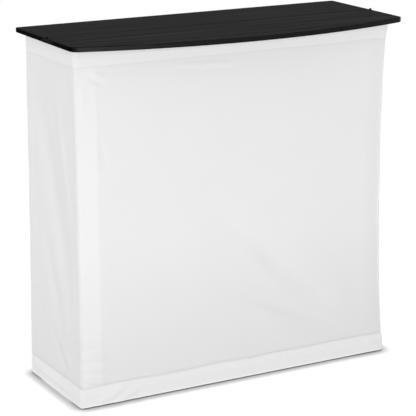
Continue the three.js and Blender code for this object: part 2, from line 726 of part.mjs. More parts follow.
// 0 at the blocks and 1 half way down, steep next to the blocks as stretched cloth is
function waist(z) {
  return Math.sqrt(Math.sin(Math.PI * spread(z)));
}

// Heights of the cover's rows, with a step at the inner edge of each hem
function coverHeights() {
  const low = COVER_FLOOR_GAP;
  const hemTop = low + COVER_BOTTOM_HEM;
  const hemFoot = coverTopZ - COVER_TOP_HEM;
  const heights = [low, footBlockTop, hemTop, hemTop + COVER_HEM_STEP];
  const clearLow = hemTop + COVER_HEM_STEP;
  const clearHigh = hemFoot - COVER_HEM_STEP;
  for (let row = 1; row < COVER_ROWS; row += 1) {
    heights.push(clearLow + (clearHigh - clearLow) * row / COVER_ROWS);
  }
  return [...heights, clearHigh, hemFoot, topBlockZ, coverTopZ];
}

function inHem(z) {
  return z <= COVER_FLOOR_GAP + COVER_BOTTOM_HEM || z >= coverTopZ - COVER_TOP_HEM;
}

// A slack fold: a shallow trough along a line that slopes down towards the front or the right
function foldDepth(along, z, span) {
  const share = along / span;
  const lineStart = coverTopZ - COVER_FOLD_START_DROP;
  const lineEnd = COVER_FLOOR_GAP + COVER_FOLD_END_RISE;
  const lineZ = THREE.MathUtils.lerp(lineStart, lineEnd, share);
  const offset = (z - lineZ) / COVER_FOLD_WIDTH;
  const fade = Math.sin(Math.PI * THREE.MathUtils.clamp(share, 0, 1));
  return COVER_FOLD_DEPTH * Math.exp(-offset * offset) * fade;
}

// One point of the wall in plan: where it is, which way is out and whether the cloth is doubled there
const wallPoint = (x, y, outX, outY, doubled) => ({ x, y, outX, outY, doubled });

// A sewn corner round a centre, a quarter turn from the start angle
function cornerPoints(x, y, startAngle) {
  const points = [];
  for (let step = 0; step <= COVER_ARC_FACETS; step += 1) {
    const angle = startAngle + step * Math.PI / 2 / COVER_ARC_FACETS;
    const outX = Math.cos(angle);
    const outY = Math.sin(angle);
    const r = COVER_CORNER_RADIUS;
    points.push(wallPoint(x + r * outX, y + r * outY, outX, outY, true));
  }
  return points;
}

// Plan of the front panel at a height, from the left seam round both corners to the right seam
function frontPanelPlan(z) {
  const wallX = legX + FOOT_REACH_X * spread(z) + coverReach - COVER_SIDE_PULL * waist(z);
  const wallY = frontLegY - FOOT_REACH_Y * spread(z) - coverReach + COVER_FRONT_PULL * waist(z);
  const cornerX = wallX - COVER_CORNER_RADIUS;
  const cornerY = wallY + COVER_CORNER_RADIUS;
  const bandX = cornerX - COVER_CORNER_BAND;
  const clearX = bandX - COVER_HEM_STEP;
  const points = [wallPoint(-wallX, coverSeamY, -1, 0, false)];
  points.push(...cornerPoints(-cornerX, cornerY, Math.PI));
  points.push(wallPoint(-bandX, wallY, 0, -1, true));
  for (let column = 0; column <= COVER_FRONT_COLUMNS; column += 1) {
    const along = 2 * clearX * column / COVER_FRONT_COLUMNS;
    const depth = foldDepth(along, z, 2 * clearX) * waist(z);
    points.push(wallPoint(along - clearX, wallY + depth, 0, -1, false));
  }
  points.push(wallPoint(bandX, wallY, 0, -1, true));
  points.push(...cornerPoints(cornerX, cornerY, 1.5 * Math.PI));
  points.push(wallPoint(wallX, coverSeamY, 1, 0, false));
  return points;
}

// Plan of the left panel at a height, from the rear return round the rear corner to the seam
function leftPanelPlan(z) {
  const centreX = legX + FOOT_REACH_X * spread(z);
  const frontX = centreX + coverReach - COVER_SIDE_PULL * waist(z);
  const rearX = centreX + coverReach - COVER_REAR_PULL * waist(z);
  const rearY = rearLegY + FOOT_REACH_Y * spread(z) + coverReach;
  const cornerY = rearY - COVER_CORNER_RADIUS;
  const bandY = rearLegY - COVER_REAR_BAND_PAST_LEG;
  const clearY = bandY - COVER_HEM_STEP;
  const seamY = coverSeamY + SEAT_GAP;
  const wallX = (y) => THREE.MathUtils.mapLinear(y, cornerY, seamY, rearX, frontX);
  const points = [wallPoint(-centreX + COVER_REAR_RETURN, rearY, 0, 1, true)];
  points.push(...cornerPoints(-rearX + COVER_CORNER_RADIUS, cornerY, Math.PI / 2));
  points.push(wallPoint(-wallX(bandY), bandY, -1, 0, true));
  for (let column = 0; column <= COVER_SIDE_COLUMNS; column += 1) {
    const along = (clearY - seamY) * column / COVER_SIDE_COLUMNS;
    const depth = foldDepth(along, z, clearY - seamY) * waist(z);
    const y = clearY - along;
    points.push(wallPoint(-wallX(y) + depth, y, -1, 0, false));
  }
  return points;
}

// A cloth wall: an inner and an outer sheet over the rows and columns, closed along the four edges
function clothWall(planAt) {
  const heights = coverHeights();
  const rows = heights.map((z) => planAt(z).map((point) => ({ ...point, z })));
  const columns = rows[0].length;
  const positions = [];
  for (const layer of [0, 1]) {
    for (const row of rows) {
      for (const { x, y, outX, outY, doubled, z } of row) {
        const push = layer * (COVER_THICKNESS + (doubled || inHem(z) ? COVER_HEM_EXTRA : 0));
        positions.push(x + push * outX, y + push * outY, z);
      }
    }
  }
  const at = (layer, row, column) => (layer * rows.length + row) * columns + column;
  const triangles = [];
  const quad = (a, b, c, d) => triangles.push(a, b, c, a, c, d);
  const lastRow = rows.length - 1;
  const lastColumn = columns - 1;
  for (let row = 0; row < lastRow; row += 1) {
    for (let column = 0; column < lastColumn; column += 1) {
      quad(at(1, row, column), at(1, row, column + 1), at(1, row + 1, column + 1), at(1, row + 1, column));
      quad(at(0, row, column), at(0, row + 1, column), at(0, row + 1, column + 1), at(0, row, column + 1));
    }
    quad(at(0, row, 0), at(1, row, 0), at(1, row + 1, 0), at(0, row + 1, 0));
    const end = lastColumn;
    quad(at(1, row, end), at(0, row, end), at(0, row + 1, end), at(1, row + 1, end));
  }
  for (let column = 0; column < lastColumn; column += 1) {
    quad(at(0, 0, column), at(0, 0, column + 1), at(1, 0, column + 1), at(1, 0, column));
    const top = lastRow;
    quad(at(1, top, column), at(1, top, column + 1), at(0, top, column + 1), at(0, top, column));
  }
  const geometry = new THREE.BufferGeometry();
  geometry.setAttribute('position', new THREE.Float32BufferAttribute(positions, 3));
  geometry.setIndex(triangles);
  geometry.computeVertexNormals();
  return geometry;
}

place('cover_front', clothWall(frontPanelPlan), whiteCloth());
for (const { name, side } of sides) {
  place(`cover_${name}_side`, clothWall(leftPanelPlan), whiteCloth(), [0, 0, 0], [-side, 1, 1]);
}

export default bar;
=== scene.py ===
# %% [markdown]
# # Dressing a folding portable bar
# The real bar is two steel frames joined by folding side links. They carry a black two-leaf top, a hinged
# shelf and a white stretched cover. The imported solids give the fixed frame, and this lesson builds the looks
# round them: cloth, stitches, screws, finishes and a plain studio. All lengths are in metres.

import json
import math

import bmesh
import bpy
import numpy as np
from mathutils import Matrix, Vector


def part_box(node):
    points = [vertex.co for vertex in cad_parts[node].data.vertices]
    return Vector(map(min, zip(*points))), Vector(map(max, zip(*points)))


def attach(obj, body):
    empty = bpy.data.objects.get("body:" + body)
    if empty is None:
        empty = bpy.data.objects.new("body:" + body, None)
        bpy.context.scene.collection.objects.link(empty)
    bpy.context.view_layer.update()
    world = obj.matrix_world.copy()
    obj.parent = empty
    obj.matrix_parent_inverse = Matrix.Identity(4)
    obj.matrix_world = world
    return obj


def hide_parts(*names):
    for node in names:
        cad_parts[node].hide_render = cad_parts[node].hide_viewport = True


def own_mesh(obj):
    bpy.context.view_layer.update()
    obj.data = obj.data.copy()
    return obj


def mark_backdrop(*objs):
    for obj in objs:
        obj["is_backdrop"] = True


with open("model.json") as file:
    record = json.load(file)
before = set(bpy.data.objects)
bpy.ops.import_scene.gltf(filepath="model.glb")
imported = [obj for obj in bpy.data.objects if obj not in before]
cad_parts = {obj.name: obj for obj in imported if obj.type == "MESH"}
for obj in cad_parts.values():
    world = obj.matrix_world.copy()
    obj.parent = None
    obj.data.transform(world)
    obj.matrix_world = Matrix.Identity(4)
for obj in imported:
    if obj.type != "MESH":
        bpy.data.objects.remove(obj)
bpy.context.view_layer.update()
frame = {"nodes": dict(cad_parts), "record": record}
solids = frame["nodes"]
print("solids:", len(solids))

# %% [markdown]
# ## Small helpers for node trees
# Every finish below is a handful of nodes, so the helpers keep each step on one line: add a node with its
# settings and inputs, do a sum, bring a value into a range or mix two colours. They hold no look themselves.


# %% Node helpers
def feed(tree, socket, value):
    """Wires another socket to this one, or sets a plain value on it."""
    if isinstance(value, bpy.types.NodeSocket):
        tree.links.new(value, socket)
    else:
        socket.default_value = value


def set_inputs(tree, node, **values):
    """Feeds inputs by name, with an underscore for each space."""
    for label, value in values.items():
        feed(tree, node.inputs[label.replace("_", " ")], value)


def add(tree, kind, inputs=None, **settings):
    node = tree.nodes.new(kind)
    for name, value in settings.items():
        setattr(node, name, value)
    for name, value in (inputs or {}).items():
        feed(tree, node.inputs[name], value)
    return node


def maths(tree, operation, first, second=None):
    values = {0: first} if second is None else {0: first, 1: second}
    return add(tree, "ShaderNodeMath", values, operation=operation).outputs[0]


def vary(tree, value, low, high):
    """A value from 0 to 1 spread between low and high."""
    return maths(tree, "ADD", maths(tree, "MULTIPLY", value, high - low), low)


def ramp(tree, value, start, full):
    """0 at start and 1 at full, and no further on either side."""
    limits = {"Value": value, "From Min": start, "From Max": full}
    return add(tree, "ShaderNodeMapRange", limits).outputs[0]


def scaled(tree, colour, factor):
    """A colour made darker or lighter by a factor."""
    return add(tree, "ShaderNodeVectorMath", {0: colour, "Scale": factor}, operation="SCALE").outputs[0]


def mixed(tree, factor, first, second):
    """The first colour where the factor is 0 and the second where it is 1."""
    colours = {"Factor": factor, "A": first, "B": second}
    return add(tree, "ShaderNodeMix", colours, data_type="RGBA").outputs["Result"]


KIND_OF_VALUE = {float: "Float", int: "Int", tuple: "Color"}


def new_group(name, kind, inputs, outputs):
    """A tree with named inputs, given as a value to start from or as a word for the kind of socket."""
    group = bpy.data.node_groups.new(name, kind)
    for label, value in inputs.items():
        socket = value if isinstance(value, str) else KIND_OF_VALUE[type(value)]
        made = group.interface.new_socket(label, in_out="INPUT", socket_type="NodeSocket" + socket)
        if value is not socket:
            made.default_value = value
    for label, socket in outputs.items():
        group.interface.new_socket(label, in_out="OUTPUT", socket_type="NodeSocket" + socket)
    return group, group.nodes.new("NodeGroupInput"), group.nodes.new("NodeGroupOutput")


# %% [markdown]
# ## Shared surface effects
# Cloth, tape and thread share a plain weave. The top and the shelf share a printed wood grain. Paint,
# plating, nylon and rubber share a fine grain, and all but the boards share a slow drift of tone, because no
# real surface has one even colour. Each effect is a group with named inputs, placed with its own values.

# %% Weave group
RIB_HEIGHT, CROSSING_HEIGHT = 0.3, 0.2
RIB_SHADE, LEAST_SHADE = 0.25, 0.5


def make_weave():
    """Over-and-under threads on two crossing directions of a flat coordinate in metres."""
    group, start, end = new_group(
        "Plain weave",
        "ShaderNodeTree",
        {"Surface": "Vector", "Thread pitch": 0.0008},
        {"Height": "Float", "Shade": "Float"},
    )
    split = add(group, "ShaderNodeSeparateXYZ", {0: start.outputs["Surface"]})
    turns = maths(group, "DIVIDE", math.pi, start.outputs["Thread pitch"])
    across = maths(group, "SINE", maths(group, "MULTIPLY", split.outputs["X"], turns))
    along = maths(group, "SINE", maths(group, "MULTIPLY", split.outputs["Y"], turns))
    ribs = maths(group, "ADD", maths(group, "ABSOLUTE", across), maths(group, "ABSOLUTE", along))
    crossing = maths(group, "MULTIPLY", maths(group, "MULTIPLY", across, along), CROSSING_HEIGHT)
    height = maths(group, "ADD", maths(group, "MULTIPLY", ribs, RIB_HEIGHT), crossing)
    shade = maths(group, "ADD", maths(group, "MULTIPLY", ribs, RIB_SHADE), LEAST_SHADE)
    set_inputs(group, end, Height=height, Shade=shade)
    return group


weave = make_weave()

# %% Wood grain group
STREAK_DETAIL, PORE_DETAIL = 5.0, 1.0
PORE_RIM, PORE_OPEN = 0.56, 0.70
STREAK_RELIEF = 0.5


def make_board_grain():
    """Long streaks along X with short open pores, as in a printed wood-grain laminate."""
    group, start, end = new_group(
        "Board grain",
        "ShaderNodeTree",
        {
            "Surface": "Vector",
            "Streak length": 0.5,
            "Streak width": 0.008,
            "Pore length": 0.03,
            "Pore width": 0.0009,
        },
        {"Streak": "Float", "Pore": "Float", "Height": "Float"},
    )
    split = add(group, "ShaderNodeSeparateXYZ", {0: start.outputs["Surface"]})

    def stretched_noise(kind, detail):
        length, width = start.outputs[kind + " length"], start.outputs[kind + " width"]
        place = {}
        for axis, size in (("X", length), ("Y", width), ("Z", width)):
            place[axis] = maths(group, "DIVIDE", split.outputs[axis], size)
        vector = add(group, "ShaderNodeCombineXYZ", place).outputs[0]
        noise = {"Vector": vector, "Scale": 1.0, "Detail": detail, "Roughness": 0.55}
        return add(group, "ShaderNodeTexNoise", noise).outputs[0]

    streak = stretched_noise("Streak", STREAK_DETAIL)
    pore = ramp(group, stretched_noise("Pore", PORE_DETAIL), PORE_RIM, PORE_OPEN)
    height = maths(group, "SUBTRACT", maths(group, "MULTIPLY", streak, STREAK_RELIEF), pore)
    set_inputs(group, end, Streak=streak, Pore=pore, Height=height)
    return group


board_grain = make_board_grain()


# %% Moulded grain and tone drift groups
def patches(group, start, size, detail):
    """Soft noise from 0 to 1, with patches of the size that the group's input gives."""
    scale = maths(group, "DIVIDE", 1.0, start.outputs[size])
    noise = {"Vector": start.outputs["Surface"], "Scale": scale, "Detail": detail, "Roughness": 0.5}
    return add(group, "ShaderNodeTexNoise", noise).outputs[0]


def make_moulded_grain():
    """The fine pebbled skin of powder coat, plating, moulded nylon and rubber."""
    group, start, end = new_group(
        "Moulded grain",
        "ShaderNodeTree",
        {"Surface": "Vector", "Grain size": 0.001},
        {"Height": "Float"},
    )
    set_inputs(group, end, Height=patches(group, start, "Grain size", detail=3.0))
    return group


def make_tone_drift():
    """A colour that wanders a little lighter and darker over patches of a given size."""
    group, start, end = new_group(
        "Tone drift",
        "ShaderNodeTree",
        {"Surface": "Vector", "Colour": (0.5, 0.5, 0.5, 1.0), "Patch size": 0.1, "Amount": 0.05},
        {"Colour": "Color"},
    )
    swing = maths(group, "SUBTRACT", patches(group, start, "Patch size", detail=2.0), 0.5)
    factor = maths(group, "ADD", maths(group, "MULTIPLY", swing, start.outputs["Amount"]), 1.0)
    set_inputs(group, end, Colour=scaled(group, start.outputs["Colour"], factor))
    return group


moulded_grain = make_moulded_grain()
tone_drift = make_tone_drift()
print("shared effects:", [group.name for group in (weave, board_grain, moulded_grain, tone_drift)])


# %% [markdown]
# ## Finishes
# Each finish starts from a Principled surface and one coordinate: the object's own metres for hard pieces,
# and the cloth's own unrolled metres for the cover, so that the threads follow the cloth round the corners.


# %% Finish helpers
def new_finish(name, uv=None):
    material = bpy.data.materials.new(name)
    material.use_nodes = True
    tree = material.node_tree
    surface = tree.nodes["Principled BSDF"]
    if uv:
        coordinate = add(tree, "ShaderNodeUVMap", uv_map=uv).outputs["UV"]
    else:
        coordinate = add(tree, "ShaderNodeTexCoord").outputs["Object"]
    return material, tree, surface, coordinate


def put_group(tree, group, coordinate, **values):
    node = add(tree, "ShaderNodeGroup", node_tree=group)
    set_inputs(tree, node, Surface=coordinate, **values)
    return node


def drifting(tree, coordinate, colour, patch, drift):
    node = put_group(tree, tone_drift, coordinate, Colour=(*colour, 1.0), Patch_size=patch, Amount=drift)
    return node.outputs["Colour"]


def bumped(tree, height, relief, strength=1.0):
    bump = {"Height": height, "Distance": relief, "Strength": strength}
    return add(tree, "ShaderNodeBump", bump).outputs["Normal"]


# %% [markdown]
# The cover is white woven polyester. The threads are under a millimetre, so from a step away they only
# soften the light. The doubled cloth of the hems lets less light through, so it looks whiter, and the foot
# hem is whiter still as painted bounce light from the floor. Only the band beside the left front corner, on
# the lit side, is whiter, as doubled cloth and painted light, fading towards the top. The sewn lines get a
# little painted shade, and the very foot of the cover a thin painted highlight. Two masks stored on the mesh
# tell the finish where.

# %% Cloth
CLOTH_WHITE, CLOTH_PATCH, CLOTH_DRIFT = (0.81, 0.81, 0.81), 0.12, 0.02
# BAND_WHITE is the white of doubled cloth and of painted light. SEAM_SHADE darkens the sewn lines as painted
# shade.
BAND_WHITE = (0.875, 0.875, 0.875)
SEAM_SHADE = 0.90
CLOTH_ROUGH, CLOTH_SHINE = (0.98, 0.86), 0.2
CLOTH_THREAD, THREAD_RELIEF, THREAD_STRENGTH = 0.0008, 0.00015, 0.6


def make_cloth():
    material, tree, surface, coordinate = new_finish("White woven polyester", uv="cloth")
    single = drifting(tree, coordinate, CLOTH_WHITE, CLOTH_PATCH, CLOTH_DRIFT)
    # The doubled mask holds doubled cloth and painted light: painted bounce on the foot hem and painted light
    # on the left corner band.
    doubled = add(tree, "ShaderNodeAttribute", attribute_name="doubled").outputs["Fac"]
    whiter = mixed(tree, doubled, single, (*BAND_WHITE, 1.0))
    # The seam mask darkens the sewn lines as painted shade. Below zero it lightens the very foot as a painted
    # highlight.
    seam = add(tree, "ShaderNodeAttribute", attribute_name="seam").outputs["Fac"]
    threads = put_group(tree, weave, coordinate, Thread_pitch=CLOTH_THREAD)
    set_inputs(
        tree,
        surface,
        Base_Color=scaled(tree, whiter, vary(tree, seam, 1.0, SEAM_SHADE)),
        Roughness=vary(tree, threads.outputs["Shade"], *CLOTH_ROUGH),
        Specular_IOR_Level=CLOTH_SHINE,
        Normal=bumped(tree, threads.outputs["Height"], THREAD_RELIEF, THREAD_STRENGTH),
    )
    return material


cloth = make_cloth()


# %% Thread and tape
def woven_finish(name, colour, patch, drift, pitch, rough, relief):
    material, tree, surface, coordinate = new_finish(name)
    threads = put_group(tree, weave, coordinate, Thread_pitch=pitch)
    set_inputs(
        tree,
        surface,
        Base_Color=drifting(tree, coordinate, colour, patch, drift),
        Roughness=vary(tree, threads.outputs["Shade"], *rough),
        Normal=bumped(tree, threads.outputs["Height"], relief),
    )
    return material


thread = woven_finish(
    "White sewing thread",
    colour=(0.66, 0.66, 0.66),
    patch=0.004,
    drift=0.15,
    pitch=0.0004,
    rough=(0.8, 0.6),
    relief=0.0001,
)
tape = woven_finish(
    "Hook and loop tape",
    colour=(0.62, 0.62, 0.61),
    patch=0.003,
    drift=0.25,
    pitch=0.0016,
    rough=(0.98, 0.88),
    relief=0.0006,
)
print("woven finishes:", [finish.name for finish in (cloth, thread, tape)])

# %% [markdown]
# The top and shelf are boards faced with a black wood-grain laminate. The print shows long soft streaks, and
# the press leaves fine open pores, so the grain drives colour, roughness and relief together. The upright
# edges are a deeper black. The long ones carry a smooth, glossier edging, and the sawn ends are sealed matt.
# The way that a face points tells them apart.

# %% Black boards
STREAK_RANGE, PORE_SHADE = (0.36, 0.64), 0.55
END_RANGE, UPRIGHT_RANGE = (0.70, 0.90), (0.70, 0.50)
EDGING_GLOSS, EDGING_SHADE, EDGING_ROUGH = 0.22, 0.15, 0.42
BOARD_SHINE, BOARD_RELIEF, BOARD_STRENGTH = 0.025, 0.00012, 0.5


def black_board(name, dark, light, rough):
    material, tree, surface, coordinate = new_finish(name)
    grain = put_group(tree, board_grain, coordinate)
    streak = ramp(tree, grain.outputs["Streak"], *STREAK_RANGE)
    colour = mixed(tree, streak, (*dark, 1.0), (*light, 1.0))
    pored = scaled(tree, colour, vary(tree, grain.outputs["Pore"], 1.0, PORE_SHADE))
    facing = add(tree, "ShaderNodeSeparateXYZ", {0: coordinate.node.outputs["Normal"]})
    end = ramp(tree, maths(tree, "ABSOLUTE", facing.outputs["X"]), *END_RANGE)
    upright = ramp(tree, maths(tree, "ABSOLUTE", facing.outputs["Z"]), *UPRIGHT_RANGE)
    long_edge = maths(tree, "SUBTRACT", upright, end)
    set_inputs(
        tree,
        surface,
        Base_Color=scaled(tree, pored, vary(tree, upright, 1.0, EDGING_SHADE)),
        Roughness=maths(tree, "MAXIMUM", vary(tree, streak, *rough), end),
        Coat_Weight=maths(tree, "MULTIPLY", long_edge, EDGING_GLOSS),
        Coat_Roughness=EDGING_ROUGH,
        Specular_IOR_Level=BOARD_SHINE,
        Normal=bumped(tree, grain.outputs["Height"], BOARD_RELIEF, BOARD_STRENGTH),
    )
    return material


top_board = black_board(
    "Black grained top", dark=(0.004, 0.004, 0.004), light=(0.011, 0.011, 0.0111), rough=(0.75, 0.62)
)
shelf_board = black_board(
    "Black grained shelf", dark=(0.008, 0.008, 0.008), light=(0.022, 0.022, 0.0222), rough=(0.75, 0.60)
)
print("board finishes:", top_board.name, "and", shelf_board.name)

# %% [markdown]
# The tubes are powder coated in light grey, the links, clips and shelf hinge are zinc plated, the hinges of
# the top are blackened, the corner blocks are moulded nylon and the feet are rubber. They show from behind,
# through the open back, and when the bar is folded.


# %% Steel, zinc, nylon and rubber
def grained_finish(name, colour, patch, drift, grain, rough, relief, strength, **uniform):
    material, tree, surface, coordinate = new_finish(name)
    skin = put_group(tree, moulded_grain, coordinate, Grain_size=grain).outputs["Height"]
    set_inputs(
        tree,
        surface,
        Base_Color=drifting(tree, coordinate, colour, patch, drift),
        Roughness=vary(tree, skin, *rough),
        Normal=bumped(tree, skin, relief, strength),
        **uniform,
    )
    return material


frame_steel = grained_finish(
    "Light grey powder coat",
    colour=(0.43, 0.44, 0.45),
    patch=0.08,
    drift=0.08,
    grain=0.0018,
    rough=(0.34, 0.50),
    relief=0.0002,
    strength=0.4,
)
zinc = grained_finish(
    "Zinc plated steel",
    colour=(0.62, 0.63, 0.65),
    patch=0.02,
    drift=0.22,
    grain=0.004,
    rough=(0.24, 0.46),
    relief=0.0001,
    strength=0.3,
    Metallic=1.0,
)
black_steel = grained_finish(
    "Blackened steel",
    colour=(0.002, 0.002, 0.0021),
    patch=0.01,
    drift=0.25,
    grain=0.0012,
    rough=(0.62, 0.82),
    relief=0.0001,
    strength=0.4,
    Specular_IOR_Level=0.05,
)
nylon = grained_finish(
    "Moulded grey nylon",
    colour=(0.24, 0.25, 0.26),
    patch=0.03,
    drift=0.06,
    grain=0.0006,
    rough=(0.46, 0.62),
    relief=0.0001,
    strength=0.6,
)
rubber = grained_finish(
    "Black foot rubber",
    colour=(0.022, 0.022, 0.022),
    patch=0.01,
    drift=0.3,
    grain=0.0008,
    rough=(0.75, 0.92),
    relief=0.0002,
    strength=0.6,
)
print("hard finishes:", [finish.name for finish in (frame_steel, zinc, black_steel, nylon, rubber)])

# %% [markdown]
# ## Dress the hard pieces
# Each solid takes the finish of its slot. The solids come with split corners, so a weld closes them and an
# edge split keeps the real edges crisp while the turned faces shade round. Nothing of the solids is moved.

# %% Give each solid its finish
CLOSED_WITHIN = 2e-5
CRISP_ANGLE = math.radians(32)
finish_of_slot = {
    "top_board": top_board,
    "shelf_board": shelf_board,
    "frame_steel": frame_steel,
    "zinc_steel": zinc,
    "black_steel": black_steel,
    "corner_nylon": nylon,
    "foot_rubber": rubber,
    "cover_cloth": cloth,
    "hook_tape": tape,
}
for piece in frame["record"]["subparts"]:
    solid = solids[piece["node"]]
    solid.data.materials.clear()
    solid.data.materials.append(finish_of_slot[piece["material_slot"]])
    own_normals = solid.data.attributes.get("custom_normal")
    if own_normals:
        solid.data.attributes.remove(own_normals)
    solid.data.shade_smooth()
    weld = solid.modifiers.new("Close corners", "WELD")
    weld.merge_threshold = CLOSED_WITHIN
    crisp = solid.modifiers.new("Crisp edges", "EDGE_SPLIT")
    crisp.split_angle = CRISP_ANGLE

# %% [markdown]
# ## The cloth cover
# The cover is a skirt stretched round the front and sides. The top and foot blocks push it out and it draws
# in between them, most at the front. A sewer would cut it flat, hem all edges and sew the panels together
# beside the front corners. Here each panel is a fine grid: a plan round the legs for each height, pushed out
# or in by the folds, creases and puckers that the real cloth has. It is made from listed folds and not by a
# cloth simulation, because each fold then has a known place.

# %% Sizes that the solids give
LOW, HIGH = 0, 1
MICROMETRE = 6


def face(node, corner, axis):
    """One face of a solid's box, to the micrometre."""
    return round(getattr(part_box(node)[corner], axis), MICROMETRE)


def middle(node, axis):
    """Half way between two faces of a solid's box, to the micrometre."""
    return round((face(node, LOW, axis) + face(node, HIGH, axis)) / 2, MICROMETRE)


LEG_X = middle("front_right_leg", "x")
FRONT_LEG_Y, REAR_LEG_Y = middle("front_right_leg", "y"), middle("rear_right_leg", "y")
BLOCK_X, BLOCK_Y = face("front_right_top_block", HIGH, "x"), face("front_right_top_block", LOW, "y")
FOOT_SPREAD_X = face("front_right_foot_block", HIGH, "x") - BLOCK_X
FOOT_SPREAD_Y = BLOCK_Y - face("front_right_foot_block", LOW, "y")
TOP_BLOCK_FOOT = face("front_right_top_block", LOW, "z")
FOOT_BLOCK_TOP = face("front_right_foot_block", HIGH, "z")
COVER_FOOT, COVER_TOP = face("cover_front", LOW, "z"), face("cover_front", HIGH, "z")
SEAM_Y = face("cover_front", HIGH, "y")
print("legs at:", LEG_X, FRONT_LEG_Y, REAR_LEG_Y, "cover from", COVER_FOOT, "to", COVER_TOP)

# %% Sizes of the cloth
CLOTH_CLEARANCE = 0.0018
CLOTH_REACH = BLOCK_X - LEG_X + CLOTH_CLEARANCE
CLOTH_THICKNESS, HEM_EXTRA = 0.0011, 0.0006
FRONT_PULL, SIDE_PULL, REAR_PULL = 0.0130, 0.0080, 0.0015
CORNER_RADIUS, CORNER_BAND = 0.0070, 0.0540
REAR_RETURN, REAR_HEM_Y = 0.0240, 0.1580
TOP_HEM, FOOT_HEM = 0.0450, 0.0500
FOOT_LINE, TOP_LINE = COVER_FOOT + FOOT_HEM, COVER_TOP - TOP_HEM
GRID_STEP, FINE_STEP = 0.0062, 0.0031
PUCKERS_FOOT, PUCKERS_TOP = 0.185, 0.795
LINE_CLEAR = 0.006
LINE_STEPS = (-0.005, -0.003, -0.0018, -0.0008, 0.0, 0.0008, 0.0018, 0.003, 0.005)


def straight(start, end, steps):
    return [start + (end - start) * i / steps for i in range(steps)]


def between_blocks(z):
    return np.clip((TOP_BLOCK_FOOT - z) / (TOP_BLOCK_FOOT - FOOT_BLOCK_TOP), 0.0, 1.0)


def waist(z):
    """0 at the blocks and 1 half way down, steep next to the blocks as stretched cloth is."""
    return np.sqrt(np.maximum(np.sin(math.pi * between_blocks(z)), 0.0))


def cover_rows():
    """Heights of the grid rows, closer together where the cloth puckers and beside each hem line."""
    lines = [FOOT_LINE, TOP_LINE]
    stops = [COVER_FOOT, PUCKERS_FOOT, PUCKERS_TOP, COVER_TOP]
    rows = []
    for low, high, step in zip(stops, stops[1:], (FINE_STEP, GRID_STEP, FINE_STEP)):
        rows += straight(low, high, round((high - low) / step))
    rows.append(COVER_TOP)
    rows = [z for z in rows if min(abs(z - line) for line in lines) > LINE_CLEAR]
    for line in lines:
        rows += [line + step for step in LINE_STEPS]
    return np.array(sorted(rows))


ROWS = cover_rows()
print("cover rows:", len(ROWS))

# %% [markdown]
# ### Folds, ripples and sewn lines
# A stretched skirt is never flat. Slack runs in soft folds from the middle of the front to its lower right,
# the hems pull short creases, and the stitches draw the cloth in and pucker it. A fold here is a line on the
# unrolled cloth, with a width and a height that is negative where the cloth sinks in.

# %% Shapes of the relief
RIPPLE_WAVES, WAVE_SHORT, WAVE_LONG, RIPPLE_GAIN = 7, 0.7, 1.6, 1.8
FOOT_LINE_WIDTH, TOP_LINE_WIDTH, TOP_LINE_SHARE = 0.0028, 0.0022, 0.4
STITCH_GROOVE = 0.0016
PUCKER_REACH, PUCKER_PITCH, PUCKER_HEIGHT = 0.012, 0.019, 0.00022
WANDER_SEED, WANDER_LENGTH, WANDER_TURN, PHASE_LIMIT = 5, 0.09, 1.4, 6


def bell(distance, width):
    """1 on a line, fading softly to 0 on both sides of it."""
    return np.exp(-((distance / width) ** 2))


def crease(s, z, start, end, width, height):
    """A soft ridge or trough along a line on the unrolled cloth, fading out at both ends."""
    run = (end[0] - start[0], end[1] - start[1])
    share = ((s - start[0]) * run[0] + (z - start[1]) * run[1]) / (run[0] ** 2 + run[1] ** 2)
    share = np.clip(share, 0.0, 1.0)
    gap_s = s - start[0] - share * run[0]
    gap_z = z - start[1] - share * run[1]
    return height * np.exp(-(gap_s**2 + gap_z**2) / width**2) * np.sin(math.pi * share)


def ripple(s, z, seed, size, height):
    """Slow random waves, the same at every run."""
    dice = np.random.RandomState(seed)
    total = np.zeros_like(s + z)
    for _ in range(RIPPLE_WAVES):
        angle = dice.uniform(0, math.pi)
        wave = size * dice.uniform(WAVE_SHORT, WAVE_LONG)
        phase = dice.uniform(0, 2 * math.pi)
        total += np.sin(2 * math.pi * (s * math.cos(angle) + z * math.sin(angle)) / wave + phase)
    return height * total / RIPPLE_WAVES * RIPPLE_GAIN


def hem_lines(z):
    """How close a height is to the two sewn hem lines, from 0 to 1, and whether it is inside a hem."""
    near = bell(z - FOOT_LINE, FOOT_LINE_WIDTH) + TOP_LINE_SHARE * bell(z - TOP_LINE, TOP_LINE_WIDTH)
    inside = ((z < FOOT_LINE) | (z > TOP_LINE)).astype(float)
    return near, inside


def sewn_edges(s, z, seed):
    """The step of the double layer, the groove that the stitches pull in, and the puckers beside it."""
    near, inside = hem_lines(z)
    beside = bell(z - FOOT_LINE, PUCKER_REACH) + bell(z - TOP_LINE, PUCKER_REACH)
    dice = np.random.RandomState(seed)
    wander = ripple(s, 0.0 * z, seed + WANDER_SEED, WANDER_LENGTH, WANDER_TURN)
    pucker = np.sin(2 * math.pi * s / PUCKER_PITCH + wander + dice.uniform(0, PHASE_LIMIT))
    return HEM_EXTRA * inside - STITCH_GROOVE * near + PUCKER_HEIGHT * beside * pucker


